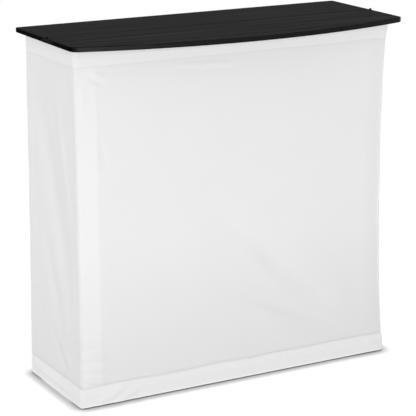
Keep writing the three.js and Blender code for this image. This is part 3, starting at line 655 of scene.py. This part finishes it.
# %% Folds of the front and of a side
FRONT_CREASES = [
    # slack that sags from the middle to the lower right: one broad dip, then troughs and ridges in it
    ((-0.120, 0.530), (0.280, 0.090), 0.055, -0.0036),
    ((-0.050, 0.455), (0.030, 0.365), 0.022, -0.0022),
    ((0.036, 0.376), (0.200, 0.230), 0.024, -0.0038),
    ((0.170, 0.256), (0.295, 0.148), 0.022, -0.0038),
    ((-0.130, 0.310), (0.060, 0.190), 0.028, -0.0030),
    ((-0.040, 0.410), (0.240, 0.115), 0.020, 0.0028),
    ((-0.047, 0.259), (0.238, 0.167), 0.015, -0.0026),
    ((-0.020, 0.246), (0.305, 0.102), 0.020, -0.0068),
    ((0.040, 0.176), (0.285, 0.074), 0.016, 0.0028),
    ((0.110, 0.134), (0.340, 0.070), 0.013, -0.0034),
    ((-0.144, 0.139), (0.114, 0.087), 0.014, -0.0018),
    # beside the left corner band
    ((-0.384, 0.680), (-0.360, 0.580), 0.010, -0.0022),
    # under the top hem, left of the middle
    ((-0.190, 0.846), (-0.010, 0.838), 0.006, 0.0026),
    ((-0.160, 0.832), (0.000, 0.824), 0.006, -0.0018),
    # pulls at the top of the left corner, on the front, round the corner and down the band
    ((-0.412, 0.832), (-0.366, 0.818), 0.007, -0.0036),
    ((-0.412, 0.846), (-0.362, 0.832), 0.006, 0.0022),
    ((-0.486, 0.848), (-0.470, 0.806), 0.006, -0.0026),
    ((-0.478, 0.846), (-0.462, 0.806), 0.005, 0.0020),
    ((-0.430, 0.826), (-0.425, 0.740), 0.009, 0.0014),
    # pulls in the foot hem at the left
    ((-0.412, 0.006), (-0.310, 0.052), 0.0085, 0.0046),
    ((-0.366, 0.000), (-0.270, 0.040), 0.0080, 0.0034),
    # wrinkles across the left corner band, above the foot
    ((-0.452, 0.172), (-0.380, 0.156), 0.0095, 0.0050),
    ((-0.452, 0.136), (-0.378, 0.122), 0.0095, 0.0062),
    ((-0.452, 0.104), (-0.380, 0.092), 0.0085, 0.0050),
    ((-0.452, 0.074), (-0.376, 0.062), 0.0070, 0.0056),
    # pulls in the foot hem at the right
    ((0.388, 0.052), (0.448, 0.004), 0.0070, 0.0038),
    ((0.352, 0.046), (0.412, 0.006), 0.0075, 0.0028),
    # a pull at the upper right corner, and a broad low swell at the lower left
    ((0.380, 0.816), (0.418, 0.836), 0.0070, 0.0012),
    ((-0.380, 0.300), (-0.250, 0.070), 0.030, 0.0010),
]
SIDE_CREASES = [
    # slack that hangs from the upper rear to the lower front
    ((0.150, 0.840), (-0.070, 0.180), 0.034, -0.0050),
    ((0.030, 0.820), (-0.040, 0.480), 0.016, 0.0020),
    ((0.110, 0.430), (0.000, 0.130), 0.020, -0.0034),
    # a pull under the top hem, and a ridge along the foot hem
    ((0.140, 0.836), (0.110, 0.800), 0.007, 0.0014),
    ((0.230, 0.030), (-0.090, 0.024), 0.007, 0.0022),
    # short folds above the foot
    ((0.010, 0.150), (-0.050, 0.070), 0.010, 0.0022),
    ((0.080, 0.170), (-0.020, 0.064), 0.012, -0.0026),
]
print("folds:", len(FRONT_CREASES), "on the front and", len(SIDE_CREASES), "on a side")

# %% Plans of the panels
CORNER_STEPS, SEAM_STEPS, BAND_STEPS = 8, 8, 16
RETURN_STEPS, REAR_HEM_STEPS, SIDE_STEPS = 9, 6, 36
REAR_HEM_COLUMN = RETURN_STEPS + CORNER_STEPS + REAR_HEM_STEPS
TURN_RUN = CORNER_RADIUS * math.pi / 2


def quarter_turn(x, y, start, unrolled):
    """A crisp corner: places, ways out and unrolled distance round a quarter circle."""
    points = []
    for angle in straight(start, start + math.pi / 2, CORNER_STEPS):
        out = (math.cos(angle), math.sin(angle))
        run = CORNER_RADIUS * (angle - start)
        points.append((x + CORNER_RADIUS * out[0], y + CORNER_RADIUS * out[1], *out, unrolled + run))
    return points


def front_columns(z):
    """Left seam, left corner, front, right corner, right seam: place, way out and unrolled distance."""
    share = between_blocks(z)
    wall_x = LEG_X + FOOT_SPREAD_X * share + CLOTH_REACH - SIDE_PULL * waist(z)
    wall_y = FRONT_LEG_Y - FOOT_SPREAD_Y * share - CLOTH_REACH + FRONT_PULL * waist(z)
    corner_x, corner_y = wall_x - CORNER_RADIUS, wall_y + CORNER_RADIUS
    columns = []
    for y in straight(SEAM_Y, corner_y, SEAM_STEPS):
        columns.append((-wall_x, y, -1.0, 0.0, -corner_x - TURN_RUN - (y - corner_y)))
    columns += quarter_turn(-corner_x, corner_y, math.pi, -corner_x - TURN_RUN)
    band_x = corner_x - CORNER_BAND
    band = straight(-corner_x, -band_x, BAND_STEPS)
    clear = straight(-band_x, band_x, round(2 * (LEG_X - CORNER_BAND) / GRID_STEP))
    for x in band + clear + [-x for x in reversed(band)]:
        columns.append((x, wall_y, 0.0, -1.0, x))
    columns += quarter_turn(corner_x, corner_y, 1.5 * math.pi, corner_x)
    for y in straight(corner_y, SEAM_Y, SEAM_STEPS) + [SEAM_Y]:
        columns.append((wall_x, y, 1.0, 0.0, corner_x + TURN_RUN + (y - corner_y)))
    return np.array(columns)


def side_columns(z):
    """Left panel from the rear return round the rear corner to the seam."""
    share = between_blocks(z)
    centre_x = LEG_X + FOOT_SPREAD_X * share
    front_x = centre_x + CLOTH_REACH - SIDE_PULL * waist(z)
    rear_x = centre_x + CLOTH_REACH - REAR_PULL * waist(z)
    wall_y = REAR_LEG_Y + FOOT_SPREAD_Y * share + CLOTH_REACH
    corner_x, corner_y = rear_x - CORNER_RADIUS, wall_y - CORNER_RADIUS
    columns = []
    for x in straight(-centre_x + REAR_RETURN, -corner_x, RETURN_STEPS):
        columns.append((x, wall_y, 0.0, 1.0, corner_y + TURN_RUN + (x + corner_x)))
    turn = quarter_turn(-corner_x, corner_y, 0.5 * math.pi, 0.0)
    columns += [(*point[:4], corner_y + TURN_RUN - point[4]) for point in turn]
    hem = straight(corner_y, REAR_HEM_Y, REAR_HEM_STEPS)
    for y in hem + straight(REAR_HEM_Y, SEAM_Y, SIDE_STEPS) + [SEAM_Y]:
        along = (corner_y - y) / (corner_y - SEAM_Y)
        columns.append((-rear_x + (rear_x - front_x) * along, y, -1.0, 0.0, y))
    return np.array(columns)


# %% Bands beside the corners and at the rear
MOSTLY, WHOLLY = 0.5, 0.99
REAR_GROOVE, REAR_GROOVE_WIDTH = 0.0005, 0.0035
BAND_CLEAR, BAND_GROOVE, BAND_GROOVE_WIDTH = 0.0005, 0.0003, 0.003
BAND_FADE_REACH, BAND_FADE = 0.004, 0.012
# Painted light on the left corner band: its white at the foot and how much of it is lost towards the top.
BAND_FOOT_WHITE, BAND_WHITE_LOSS = 0.70, 0.30
LOSS_FOOT, LOSS_RUN = 0.55, 0.3
RIGHT_SLACK, SLACK_LIMIT = 0.0050, 1.2


def rear_band(s, free):
    """The rear hem of a side: where the cloth is doubled or whiter, and how far it is pushed out."""
    doubled = (s > REAR_HEM_Y).astype(float)
    groove = REAR_GROOVE * bell(s - REAR_HEM_Y, REAR_GROOVE_WIDTH) * free
    return doubled, 0.0 * doubled, -groove


def corner_bands(x, z, out_x, out_y, free):
    """The same for the bands beside the front corners: the left one is whiter as doubled cloth and painted
    light, the right one slack.
    """
    on_front = np.abs(out_x) < MOSTLY
    widest = np.max(np.abs(np.where(out_y < -WHOLLY, x, 0.0)), axis=1, keepdims=True)
    edge = widest - CORNER_BAND
    doubled = ((np.abs(x) > edge + BAND_CLEAR) & on_front).astype(float)
    # Painted light: only the left band is whiter, most at the foot.
    whiter = np.clip((BAND_FADE_REACH - x - edge) / BAND_FADE, 0.0, 1.0) * on_front
    whiter *= BAND_FOOT_WHITE - BAND_WHITE_LOSS * np.clip((z - LOSS_FOOT) / LOSS_RUN, 0.0, 1.0)
    groove = BAND_GROOVE * bell(np.abs(x) - edge, BAND_GROOVE_WIDTH) * on_front
    slack = np.clip((x - edge) / CORNER_BAND, 0.0, SLACK_LIMIT) * on_front
    return doubled, whiter, -(groove + RIGHT_SLACK * slack**2) * free


# %% Grid of a panel
RIPPLE_LENGTH, RIPPLE_HEIGHT = 0.16, 0.0007
SEAM_REACH = 0.006
SINK_AT_BLOCKS, SINK_BETWEEN = 0.0002, 0.008
WAVER_SEED, WAVER_LENGTH, HEM_WAVER, WAVER_REACH = 9, 0.20, 0.0018, 0.026
# The foot hem's full white is doubled cloth plus painted bounce light from the floor. The top hem has the
# white of doubled cloth only. RIM_LIGHT is a painted highlight along the very foot.
HALF_HEIGHT, FOOT_HEM_WHITE_AND_PAINTED_BOUNCE, TOP_HEM_WHITE = 0.5, 1.0, 0.5
RIM_LIGHT, RIM_HEIGHT = 1.2, 0.0045


def panel_grid(columns_at, creases, seed, rear_hem):
    """Outside and inside of a panel, its unrolled distance, and two colour masks: doubled cloth with painted
    light, and painted seam shade with a painted highlight at the foot.
    """
    plan = np.array([columns_at(z) for z in ROWS])
    x, y, out_x, out_y, s = (plan[:, :, i] for i in range(5))
    z = np.repeat(ROWS[:, None], plan.shape[1], axis=1)
    free = waist(z)
    sewn, inside = hem_lines(z)
    if rear_hem:
        band, band_white_and_painted_light, push = rear_band(s, free)
    else:
        band, band_white_and_painted_light, push = corner_bands(x, z, out_x, out_y, free)
    push = push + HEM_EXTRA * band * (1 - inside)
    for start, end, width, height in creases:
        push += crease(s, z, start, end, width, height)
    push += ripple(s, z, seed, RIPPLE_LENGTH, RIPPLE_HEIGHT) * free
    push += sewn_edges(s, z, seed)
    at_seam = bell(y - SEAM_Y, SEAM_REACH) * (np.abs(out_y) < MOSTLY)
    push = push * (1 - at_seam) + HEM_EXTRA * inside * at_seam
    push = np.maximum(push, -SINK_AT_BLOCKS - SINK_BETWEEN * free)
    waver = ripple(s, 0.0 * z, seed + WAVER_SEED, WAVER_LENGTH, HEM_WAVER) * (1 - at_seam)
    waver *= bell(z - FOOT_LINE, WAVER_REACH)
    outer = np.stack([x + out_x * push, y + out_y * push, z + waver], axis=2)
    thick = CLOTH_THICKNESS + HEM_EXTRA * np.maximum(inside, band)
    inner = outer - np.stack([out_x * thick, out_y * thick, 0 * z], axis=2)
    # Doubled hems are whiter, and the foot hem more so as painted bounce light.
    hem_white_and_painted_bounce = np.where(z < HALF_HEIGHT, FOOT_HEM_WHITE_AND_PAINTED_BOUNCE, TOP_HEM_WHITE) * inside
    # Painted shade along the sewn lines, less a painted highlight along the very foot.
    painted_seam_shade_and_rim_highlight = sewn - RIM_LIGHT * bell(z - COVER_FOOT, RIM_HEIGHT)
    return outer, inner, s, np.maximum(hem_white_and_painted_bounce, band_white_and_painted_light), painted_seam_shade_and_rim_highlight


# %% Mesh of a panel
SHARP_ANGLE = math.radians(60)


def cloth_panel(name, grid, mirror=1.0):
    """A closed two-sided sheet from a grid, with its unrolled metres as the cloth coordinate."""
    outer, inner, s, whiter, painted_seam_shade_and_rim_highlight = grid
    rows, columns = s.shape
    points = np.concatenate([outer.reshape(-1, 3), inner.reshape(-1, 3)])
    points[:, 0] *= mirror
    layer = rows * columns
    index = np.arange(layer).reshape(rows, columns)
    a, b, c, d = index[:-1, :-1], index[:-1, 1:], index[1:, 1:], index[1:, :-1]
    front = np.stack([a, b, c, d], axis=2).reshape(-1, 4)
    back = front[:, ::-1] + layer
    around = np.concatenate([index[0, :], index[1:, -1], index[-1, -2::-1], index[-2:0:-1, 0]])
    after = np.roll(around, -1)
    rim = np.stack([around + layer, after + layer, after, around], axis=1)
    faces = np.concatenate([front, back, rim])
    if mirror < 0:
        faces = faces[:, ::-1]
    mesh = bpy.data.meshes.new(name)
    mesh.from_pydata(points.tolist(), [], faces.tolist())
    corner = np.zeros(len(mesh.loops), dtype=np.int32)
    mesh.loops.foreach_get("vertex_index", corner)
    unrolled = np.stack([np.tile(s.ravel(), 2) * mirror, np.tile(outer[:, :, 2].ravel(), 2)], axis=1)
    mesh.uv_layers.new(name="cloth").data.foreach_set("uv", unrolled[corner].ravel().astype(np.float32))
    # doubled carries doubled cloth and painted light. seam carries painted shade and a painted highlight at
    # the foot.
    for label, values in (("doubled", whiter), ("seam", painted_seam_shade_and_rim_highlight)):
        mask = mesh.attributes.new(label, "FLOAT", "POINT")
        mask.data.foreach_set("value", np.tile(values.ravel(), 2).astype(np.float32))
    mesh.materials.append(cloth)
    mesh.shade_smooth()
    mesh.set_sharp_from_angle(angle=SHARP_ANGLE)
    mesh.validate()
    piece = bpy.data.objects.new(name, mesh)
    bpy.context.collection.objects.link(piece)
    print(name, "faces:", len(mesh.polygons))
    return piece


# %% Make the three panels
front_grid = panel_grid(front_columns, FRONT_CREASES, seed=3, rear_hem=False)
side_grid = panel_grid(side_columns, SIDE_CREASES, seed=8, rear_hem=True)
front_panel = cloth_panel("cover_front_cloth", front_grid)
left_panel = cloth_panel("cover_left_cloth", side_grid)
right_panel = cloth_panel("cover_right_cloth", side_grid, mirror=-1.0)

# %% [markdown]
# ## Stitches
# A lockstitch runs along every hem line: short raised threads at an even pitch. They repeat along a path, so
# a Geometry Nodes tree lays one small thread at each step of a guide line taken from the cloth itself.


# %% Stitch tree
def made_real(tree, laid, finish):
    """The end of each tree: the copies made real, with their finish."""
    real = add(tree, "GeometryNodeRealizeInstances", {"Geometry": laid.outputs["Instances"]})
    coloured = {"Geometry": real.outputs["Geometry"], "Material": finish}
    return add(tree, "GeometryNodeSetMaterial", coloured).outputs["Geometry"]


def make_stitch_tree():
    tree, start, end = new_group(
        "Hem stitches",
        "GeometryNodeTree",
        {"Guide": "Geometry", "Stitch pitch": 0.0036, "Stitch length": 0.0027, "Thread width": 0.0006},
        {"Stitches": "Geometry"},
    )
    path = add(tree, "GeometryNodeMeshToCurve", {"Mesh": start.outputs["Guide"]})
    spacing = {"Curve": path.outputs["Curve"], "Length": start.outputs["Stitch pitch"]}
    steps = add(tree, "GeometryNodeCurveToPoints", spacing, mode="LENGTH")
    width, length = start.outputs["Thread width"], start.outputs["Stitch length"]
    size = add(tree, "ShaderNodeCombineXYZ", {"X": width, "Y": width, "Z": length})
    bead = add(tree, "GeometryNodeMeshUVSphere", {"Segments": 6, "Rings": 4, "Radius": 0.5})
    shape = {"Geometry": bead.outputs["Mesh"], "Scale": size.outputs[0]}
    copies = {
        "Points": steps.outputs["Points"],
        "Rotation": steps.outputs["Rotation"],
        "Instance": add(tree, "GeometryNodeTransform", shape).outputs["Geometry"],
    }
    laid = add(tree, "GeometryNodeInstanceOnPoints", copies)
    set_inputs(tree, end, Stitches=made_real(tree, laid, thread))
    return tree


def grow(name, guide_mesh, tree, **values):
    """Runs a tree on a guide mesh and keeps the result as a plain mesh object."""
    guide = bpy.data.objects.new(name + "_guide", guide_mesh)
    bpy.context.collection.objects.link(guide)
    modifier = guide.modifiers.new("grow", "NODES")
    modifier.node_group = tree
    for item in tree.interface.items_tree:
        label = item.name.replace(" ", "_")
        if item.in_out == "INPUT" and label in values:
            modifier[item.identifier] = values[label]
    depsgraph = bpy.context.evaluated_depsgraph_get()
    mesh = bpy.data.meshes.new_from_object(guide.evaluated_get(depsgraph), depsgraph=depsgraph)
    mesh.name = name
    mesh.shade_smooth()
    bpy.data.objects.remove(guide)
    piece = bpy.data.objects.new(name, mesh)
    bpy.context.collection.objects.link(piece)
    print(name, "faces:", len(mesh.polygons))
    return piece


# %% Sew the panels
LINE_INSET = 0.0018


def guide_lines(name, lines, mirror=1.0):
    points, edges = [], []
    for line in lines:
        first = len(points)
        points += [(p[0] * mirror, p[1], p[2]) for p in line]
        edges += [(i, i + 1) for i in range(first, len(points) - 1)]
    mesh = bpy.data.meshes.new(name)
    mesh.from_pydata(points, edges, [])
    return mesh


def nearest_row(height):
    return int(np.argmin(np.abs(ROWS - height)))


hem_rows = [nearest_row(FOOT_LINE - LINE_INSET), nearest_row(TOP_LINE + LINE_INSET)]
front_lines = [front_grid[0][row] for row in hem_rows]
side_lines = [side_grid[0][row] for row in hem_rows]
side_lines.append(side_grid[0][hem_rows[0] : hem_rows[1], REAR_HEM_COLUMN - 1])
stitch_tree = make_stitch_tree()
front_stitches = grow("cover_front_stitches", guide_lines("front_guide", front_lines), stitch_tree)
left_stitches = grow("cover_left_stitches", guide_lines("left_guide", side_lines), stitch_tree)
right_stitches = grow("cover_right_stitches", guide_lines("right_guide", side_lines, -1.0), stitch_tree)

# %% [markdown]
# ## Screws
# Screws hold the shelf hinge and clips under the boards, the hinge plates in the ends of the top, and the
# rails in the corner blocks. One modelled head with a cross recess is set at each place by a second tree,
# which faces it the right way and turns each by a different amount, as a fitter leaves them.

# %% Screw head
HEAD_RINGS, HEAD_SPOKES = 9, 32
HEAD_HEIGHT, HEAD_DOME = 0.5, 0.75
RECESS_REACH, RECESS_WIDTH, RECESS_DEPTH = 0.6, 0.14, 0.28


def head_height(x, y):
    """The dome over a point of the unit circle, sunk where the cross recess lies."""
    small, large = sorted((abs(x), abs(y)))
    recessed = large < RECESS_REACH and small < RECESS_WIDTH
    dome = HEAD_HEIGHT * math.sqrt(1.0 - HEAD_DOME * (x * x + y * y))
    return dome - (RECESS_DEPTH if recessed else 0.0)


def screw_head():
    """A domed head of radius 1 and height about 0.5, with a cross recess, on a polar grid."""
    mesh = bpy.data.meshes.new("screw_head")
    shape = bmesh.new()
    levels = []
    for ring in range(HEAD_RINGS + 1):
        r = ring / HEAD_RINGS
        level = []
        for spoke in range(HEAD_SPOKES):
            angle = 2 * math.pi * spoke / HEAD_SPOKES
            x, y = r * math.cos(angle), r * math.sin(angle)
            level.append(shape.verts.new((x, y, head_height(x, y))))
        levels.append(level)
    levels.append([shape.verts.new((v.co.x, v.co.y, 0.0)) for v in levels[-1]])
    for low, high in zip(levels, levels[1:]):
        for i in range(HEAD_SPOKES):
            j = (i + 1) % HEAD_SPOKES
            shape.faces.new((low[i], high[i], high[j], low[j]))
    shape.faces.new(reversed(levels[-1]))
    bmesh.ops.remove_doubles(shape, verts=shape.verts, dist=1e-5)
    bmesh.ops.recalc_face_normals(shape, faces=shape.faces)
    shape.to_mesh(mesh)
    shape.free()
    return bpy.data.objects.new("screw_head", mesh)


# %% Screw tree
def make_screw_tree(finish):
    tree, start, end = new_group(
        "Set screws",
        "GeometryNodeTree",
        {"Places": "Geometry", "Head": "Object", "Head radius": 0.003, "Seed": 4},
        {"Screws": "Geometry"},
    )
    head = add(tree, "GeometryNodeObjectInfo", {"Object": start.outputs["Head"]})
    facing = add(tree, "GeometryNodeInputNamedAttribute", {"Name": "facing"}, data_type="FLOAT_VECTOR")
    aim = add(tree, "FunctionNodeAlignRotationToVector", {"Vector": facing.outputs["Attribute"]}, axis="Z")
    chance = add(tree, "FunctionNodeRandomValue", {"Seed": start.outputs["Seed"]}, data_type="FLOAT")
    chance.inputs[3].default_value = math.pi
    spin = add(tree, "FunctionNodeAxisAngleToRotation", {"Angle": chance.outputs[1]})
    turns = {"Rotation": aim.outputs["Rotation"], "Rotate By": spin.outputs["Rotation"]}
    turned = add(tree, "FunctionNodeRotateRotation", turns, rotation_space="LOCAL")
    radius = start.outputs["Head radius"]
    size = add(tree, "ShaderNodeCombineXYZ", {"X": radius, "Y": radius, "Z": radius})
    copies = {
        "Points": start.outputs["Places"],
        "Instance": head.outputs["Geometry"],
        "Rotation": turned.outputs["Rotation"],
        "Scale": size.outputs[0],
    }
    laid = add(tree, "GeometryNodeInstanceOnPoints", copies)
    set_inputs(tree, end, Screws=made_real(tree, laid, finish))
    return tree


# %% Places of the screws
UP, DOWN = (0.0, 0.0, 1.0), (0.0, 0.0, -1.0)
LEFT_AND_RIGHT = (("left", -1.0), ("right", 1.0))
LEAF_THICKNESS = 0.0012
KNUCKLES, LEAF_ROW = 18, 0.0165
KNUCKLE = (face("shelf_hinge_pin", HIGH, "x") - face("shelf_hinge_pin", LOW, "x")) / KNUCKLES
CLIP_REACHES = (0.022, 0.036)
RAIL_SCREW_INSET = 0.014
PLATE_REACHES, PLATE_SINK = (0.017, 0.029), 0.0002
SHELF_HEAD, FRAME_HEAD, PLATE_HEAD = 0.0030, 0.0042, 0.0014


def places(name, spots):
    """Spots are (point, way that the head faces)."""
    mesh = bpy.data.meshes.new(name)
    mesh.from_pydata([point for point, _ in spots], [], [])
    facing = mesh.attributes.new("facing", "FLOAT_VECTOR", "POINT")
    facing.data.foreach_set("vector", [value for _, way in spots for value in way])
    return mesh


def shelf_spots(end, leg_y, way):
    """Beside every second knuckle of the shelf hinge, and two in each clip."""
    z = face(f"shelf_hinge_{end}_leaf", HIGH, "z") - LEAF_THICKNESS
    hinge_y = middle("shelf_hinge_pin", "y") + way * LEAF_ROW
    spots = []
    for knuckle in range(0, KNUCKLES, 2):
        spots.append(((KNUCKLE * (knuckle - (KNUCKLES - 1) / 2), hinge_y, z), DOWN))
    for name, _ in LEFT_AND_RIGHT:
        clip_x = middle(f"shelf_{end}_{name}_clip", "x")
        spots += [((clip_x, leg_y - way * reach, z), DOWN) for reach in CLIP_REACHES]
    return spots


def frame_spots(end):
    """Up into the top rail through the top blocks, and down into the foot rail through the foot blocks."""
    x = face(f"{end}_right_top_block", LOW, "x") + RAIL_SCREW_INSET
    top_y, foot_y = middle(f"{end}_top_rail", "y"), middle(f"{end}_foot_rail", "y")
    top_low, foot_high = face(f"{end}_left_top_block", LOW, "z"), face(f"{end}_left_foot_block", HIGH, "z")
    spots = [((side * x, top_y, top_low), DOWN) for _, side in LEFT_AND_RIGHT]
    return spots + [((side * x, foot_y, foot_high), UP) for _, side in LEFT_AND_RIGHT]


def plate_spots(end, way):
    """Two in each hinge plate that is let into an end of the top."""
    y, z = middle("left_top_hinge_pin", "y"), middle("top_rear_leaf", "z")
    spots = []
    for name, side in LEFT_AND_RIGHT:
        outer = face(f"{name}_top_hinge_{end}_plate", HIGH if side > 0 else LOW, "x")
        x = outer - side * PLATE_SINK
        spots += [((x, y + way * reach, z), (side, 0.0, 0.0)) for reach in PLATE_REACHES]
    return spots


# %% Set the screws
head = screw_head()
screw_tree = make_screw_tree(zinc)
dark_screw_tree = make_screw_tree(black_steel)
screws = {}


def set_screws(body, spots, tree, radius):
    guide = places("spots", spots)
    screws[body] = grow(f"{body}_screws", guide, tree, Head=head, Head_radius=radius)


for end, leg_y, way in (("rear", REAR_LEG_Y, 1.0), ("front", FRONT_LEG_Y, -1.0)):
    set_screws(f"shelf_{end}", shelf_spots(end, leg_y, way), screw_tree, SHELF_HEAD)
    set_screws(f"{end}_frame", frame_spots(end), screw_tree, FRAME_HEAD)
for end, way in (("rear", 1.0), ("front", -1.0)):
    set_screws(f"top_{end}", plate_spots(end, way), dark_screw_tree, PLATE_HEAD)
bpy.data.objects.remove(head)

# %% [markdown]
# ## Tie the looks to the moving bodies
# The front panel goes with the front frame. The side panels hang between the frames; on the real bar they
# crumple towards the rear legs as it closes. Here they only ride with the rear frame, each on its own mesh.

# %% Ride and replace
CLOTH_ANCHOR = (0.0, face("cover_left_side", HIGH, "y"), 0.0)


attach(front_panel, "front_frame")
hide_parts("cover_front")
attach(front_stitches, "front_frame")
for side, panel, sewing in (("left", left_panel, left_stitches), ("right", right_panel, right_stitches)):
    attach(panel, "rear_frame")
    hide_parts(f"cover_{side}_side")
    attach(sewing, "rear_frame")
    for piece in (panel, sewing):
        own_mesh(piece)
for body, piece in screws.items():
    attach(piece, body)

# %% [markdown]
# ## Studio
# The bar stands on a pale floor in a white room. One large soft light stands in front, a little to the left,
# and one behind on the left, both low, so that the light grazes the folds. A weaker one keeps the right side
# from going grey. Rays that show the surroundings see the floor as white, darkened only where the bar
# shelters it, which leaves the thin contact shadow of a studio photograph.

# %% Floor
FLOOR_HALF = 2.4
FLOOR_PALE, FLOOR_SEEN = 0.50, 0.25
FLOOR_PATCH, FLOOR_DRIFT = 1.5, 0.01
FLOOR_ROUGH, FLOOR_SHINE = 0.95, 0.05
FLOOR_GLOW, FLOOR_BOUNCE = 0.88, 0.11
CONTACT_REACH, CONTACT_DEPTH, CONTACT_SAMPLES = 0.032, 2.0, 8
WHITE = (1.0, 1.0, 1.0, 1.0)


def shows_white(tree):
    """1 for rays that show the surroundings: straight to the camera, in metal or through glass."""
    path = add(tree, "ShaderNodeLightPath")
    mirrored = maths(tree, "MAXIMUM", path.outputs["Is Camera Ray"], path.outputs["Is Glossy Ray"])
    return maths(tree, "MAXIMUM", mirrored, path.outputs["Is Transmission Ray"])


def floor_finish():
    finish, tree, surface, coordinate = new_finish("Pale floor")
    seen = shows_white(tree)
    level = vary(tree, seen, FLOOR_PALE, FLOOR_SEEN)
    shade = add(tree, "ShaderNodeCombineColor", {0: level, 1: level, 2: level}).outputs[0]
    drift = put_group(tree, tone_drift, coordinate, Colour=shade, Patch_size=FLOOR_PATCH, Amount=FLOOR_DRIFT)
    shelter = add(tree, "ShaderNodeAmbientOcclusion", {"Distance": CONTACT_REACH}, samples=CONTACT_SAMPLES)
    open_share = maths(tree, "POWER", shelter.outputs["AO"], CONTACT_DEPTH)
    shown = maths(tree, "MULTIPLY", maths(tree, "MULTIPLY", open_share, FLOOR_GLOW), seen)
    unseen = vary(tree, seen, FLOOR_BOUNCE, 0.0)
    set_inputs(
        tree,
        surface,
        Base_Color=drift.outputs["Colour"],
        Emission_Color=WHITE,
        Emission_Strength=maths(tree, "ADD", shown, unseen),
        Roughness=FLOOR_ROUGH,
        Specular_IOR_Level=FLOOR_SHINE,
    )
    return finish


def make_floor():
    mesh = bpy.data.meshes.new("floor")
    corners = [(x * FLOOR_HALF, y * FLOOR_HALF, 0) for x, y in ((-1, -1), (1, -1), (1, 1), (-1, 1))]
    mesh.from_pydata(corners, [], [(0, 1, 2, 3)])
    mesh.materials.append(floor_finish())
    floor = bpy.data.objects.new("floor", mesh)
    bpy.context.collection.objects.link(floor)
    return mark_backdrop(floor)


make_floor()

# %% Soft lights
LIT_POINT = (0.0, 0.0, 0.45)
SOFTBOXES = (
    {"name": "front softbox", "place": (-2.1, -6.9, 1.0), "width": 3.6, "watts": 338.0},
    {"name": "left softbox", "place": (-5.6, 3.9, 1.2), "width": 3.2, "watts": 204.0},
    {"name": "right softbox", "place": (6.4, 1.6, 1.2), "width": 3.2, "watts": 110.0},
)


def aim_at(place, target):
    return (Vector(target) - Vector(place)).to_track_quat("-Z", "Y").to_euler()


def soft_light(name, place, width, watts):
    lamp = bpy.data.lights.new(name, "AREA")
    lamp.shape = "SQUARE"
    lamp.size = width
    lamp.energy = watts
    light = bpy.data.objects.new(name, lamp)
    light.location = place
    light.rotation_euler = aim_at(place, LIT_POINT)
    bpy.context.collection.objects.link(light)


for softbox in SOFTBOXES:
    soft_light(**softbox)
print("soft lights:", [softbox["name"] for softbox in SOFTBOXES])

# %% White surroundings
WORLD_FILL = 0.44
world = bpy.data.worlds.new("White studio")
bpy.context.scene.world = world
world.use_nodes = True
tree = world.node_tree
tree.nodes.clear()
seen = add(tree, "ShaderNodeBackground", {"Color": WHITE, "Strength": 1.0})
fill = add(tree, "ShaderNodeBackground", {"Color": WHITE, "Strength": WORLD_FILL})
either = add(tree, "ShaderNodeMixShader", {0: shows_white(tree), 1: fill.outputs[0], 2: seen.outputs[0]})
add(tree, "ShaderNodeOutputWorld", {"Surface": either.outputs[0]})

# %% [markdown]
# ## Camera
# The camera stands where the photograph was taken from: in front and to the left, above the top and far off
# with a long lens. Its place and lens come from fitting the straight edges of the photograph.

# %% Camera and view
CAMERA_PLACE, LOOK_AT = (-2.1616, -3.8299, 1.6295), (-0.0125, 0.0382, 0.4300)
SENSOR_WIDTH, LENS = 36.0, 151.35
lens = bpy.data.cameras.new("camera")
lens.sensor_width = SENSOR_WIDTH
lens.lens = LENS
camera = bpy.data.objects.new("camera", lens)
camera.location = CAMERA_PLACE
camera.rotation_euler = aim_at(CAMERA_PLACE, LOOK_AT)
bpy.context.collection.objects.link(camera)
bpy.context.scene.camera = camera
bpy.context.scene.view_settings.view_transform = "Standard"
print("camera distance:", round(math.dist(CAMERA_PLACE, LOOK_AT), 3))
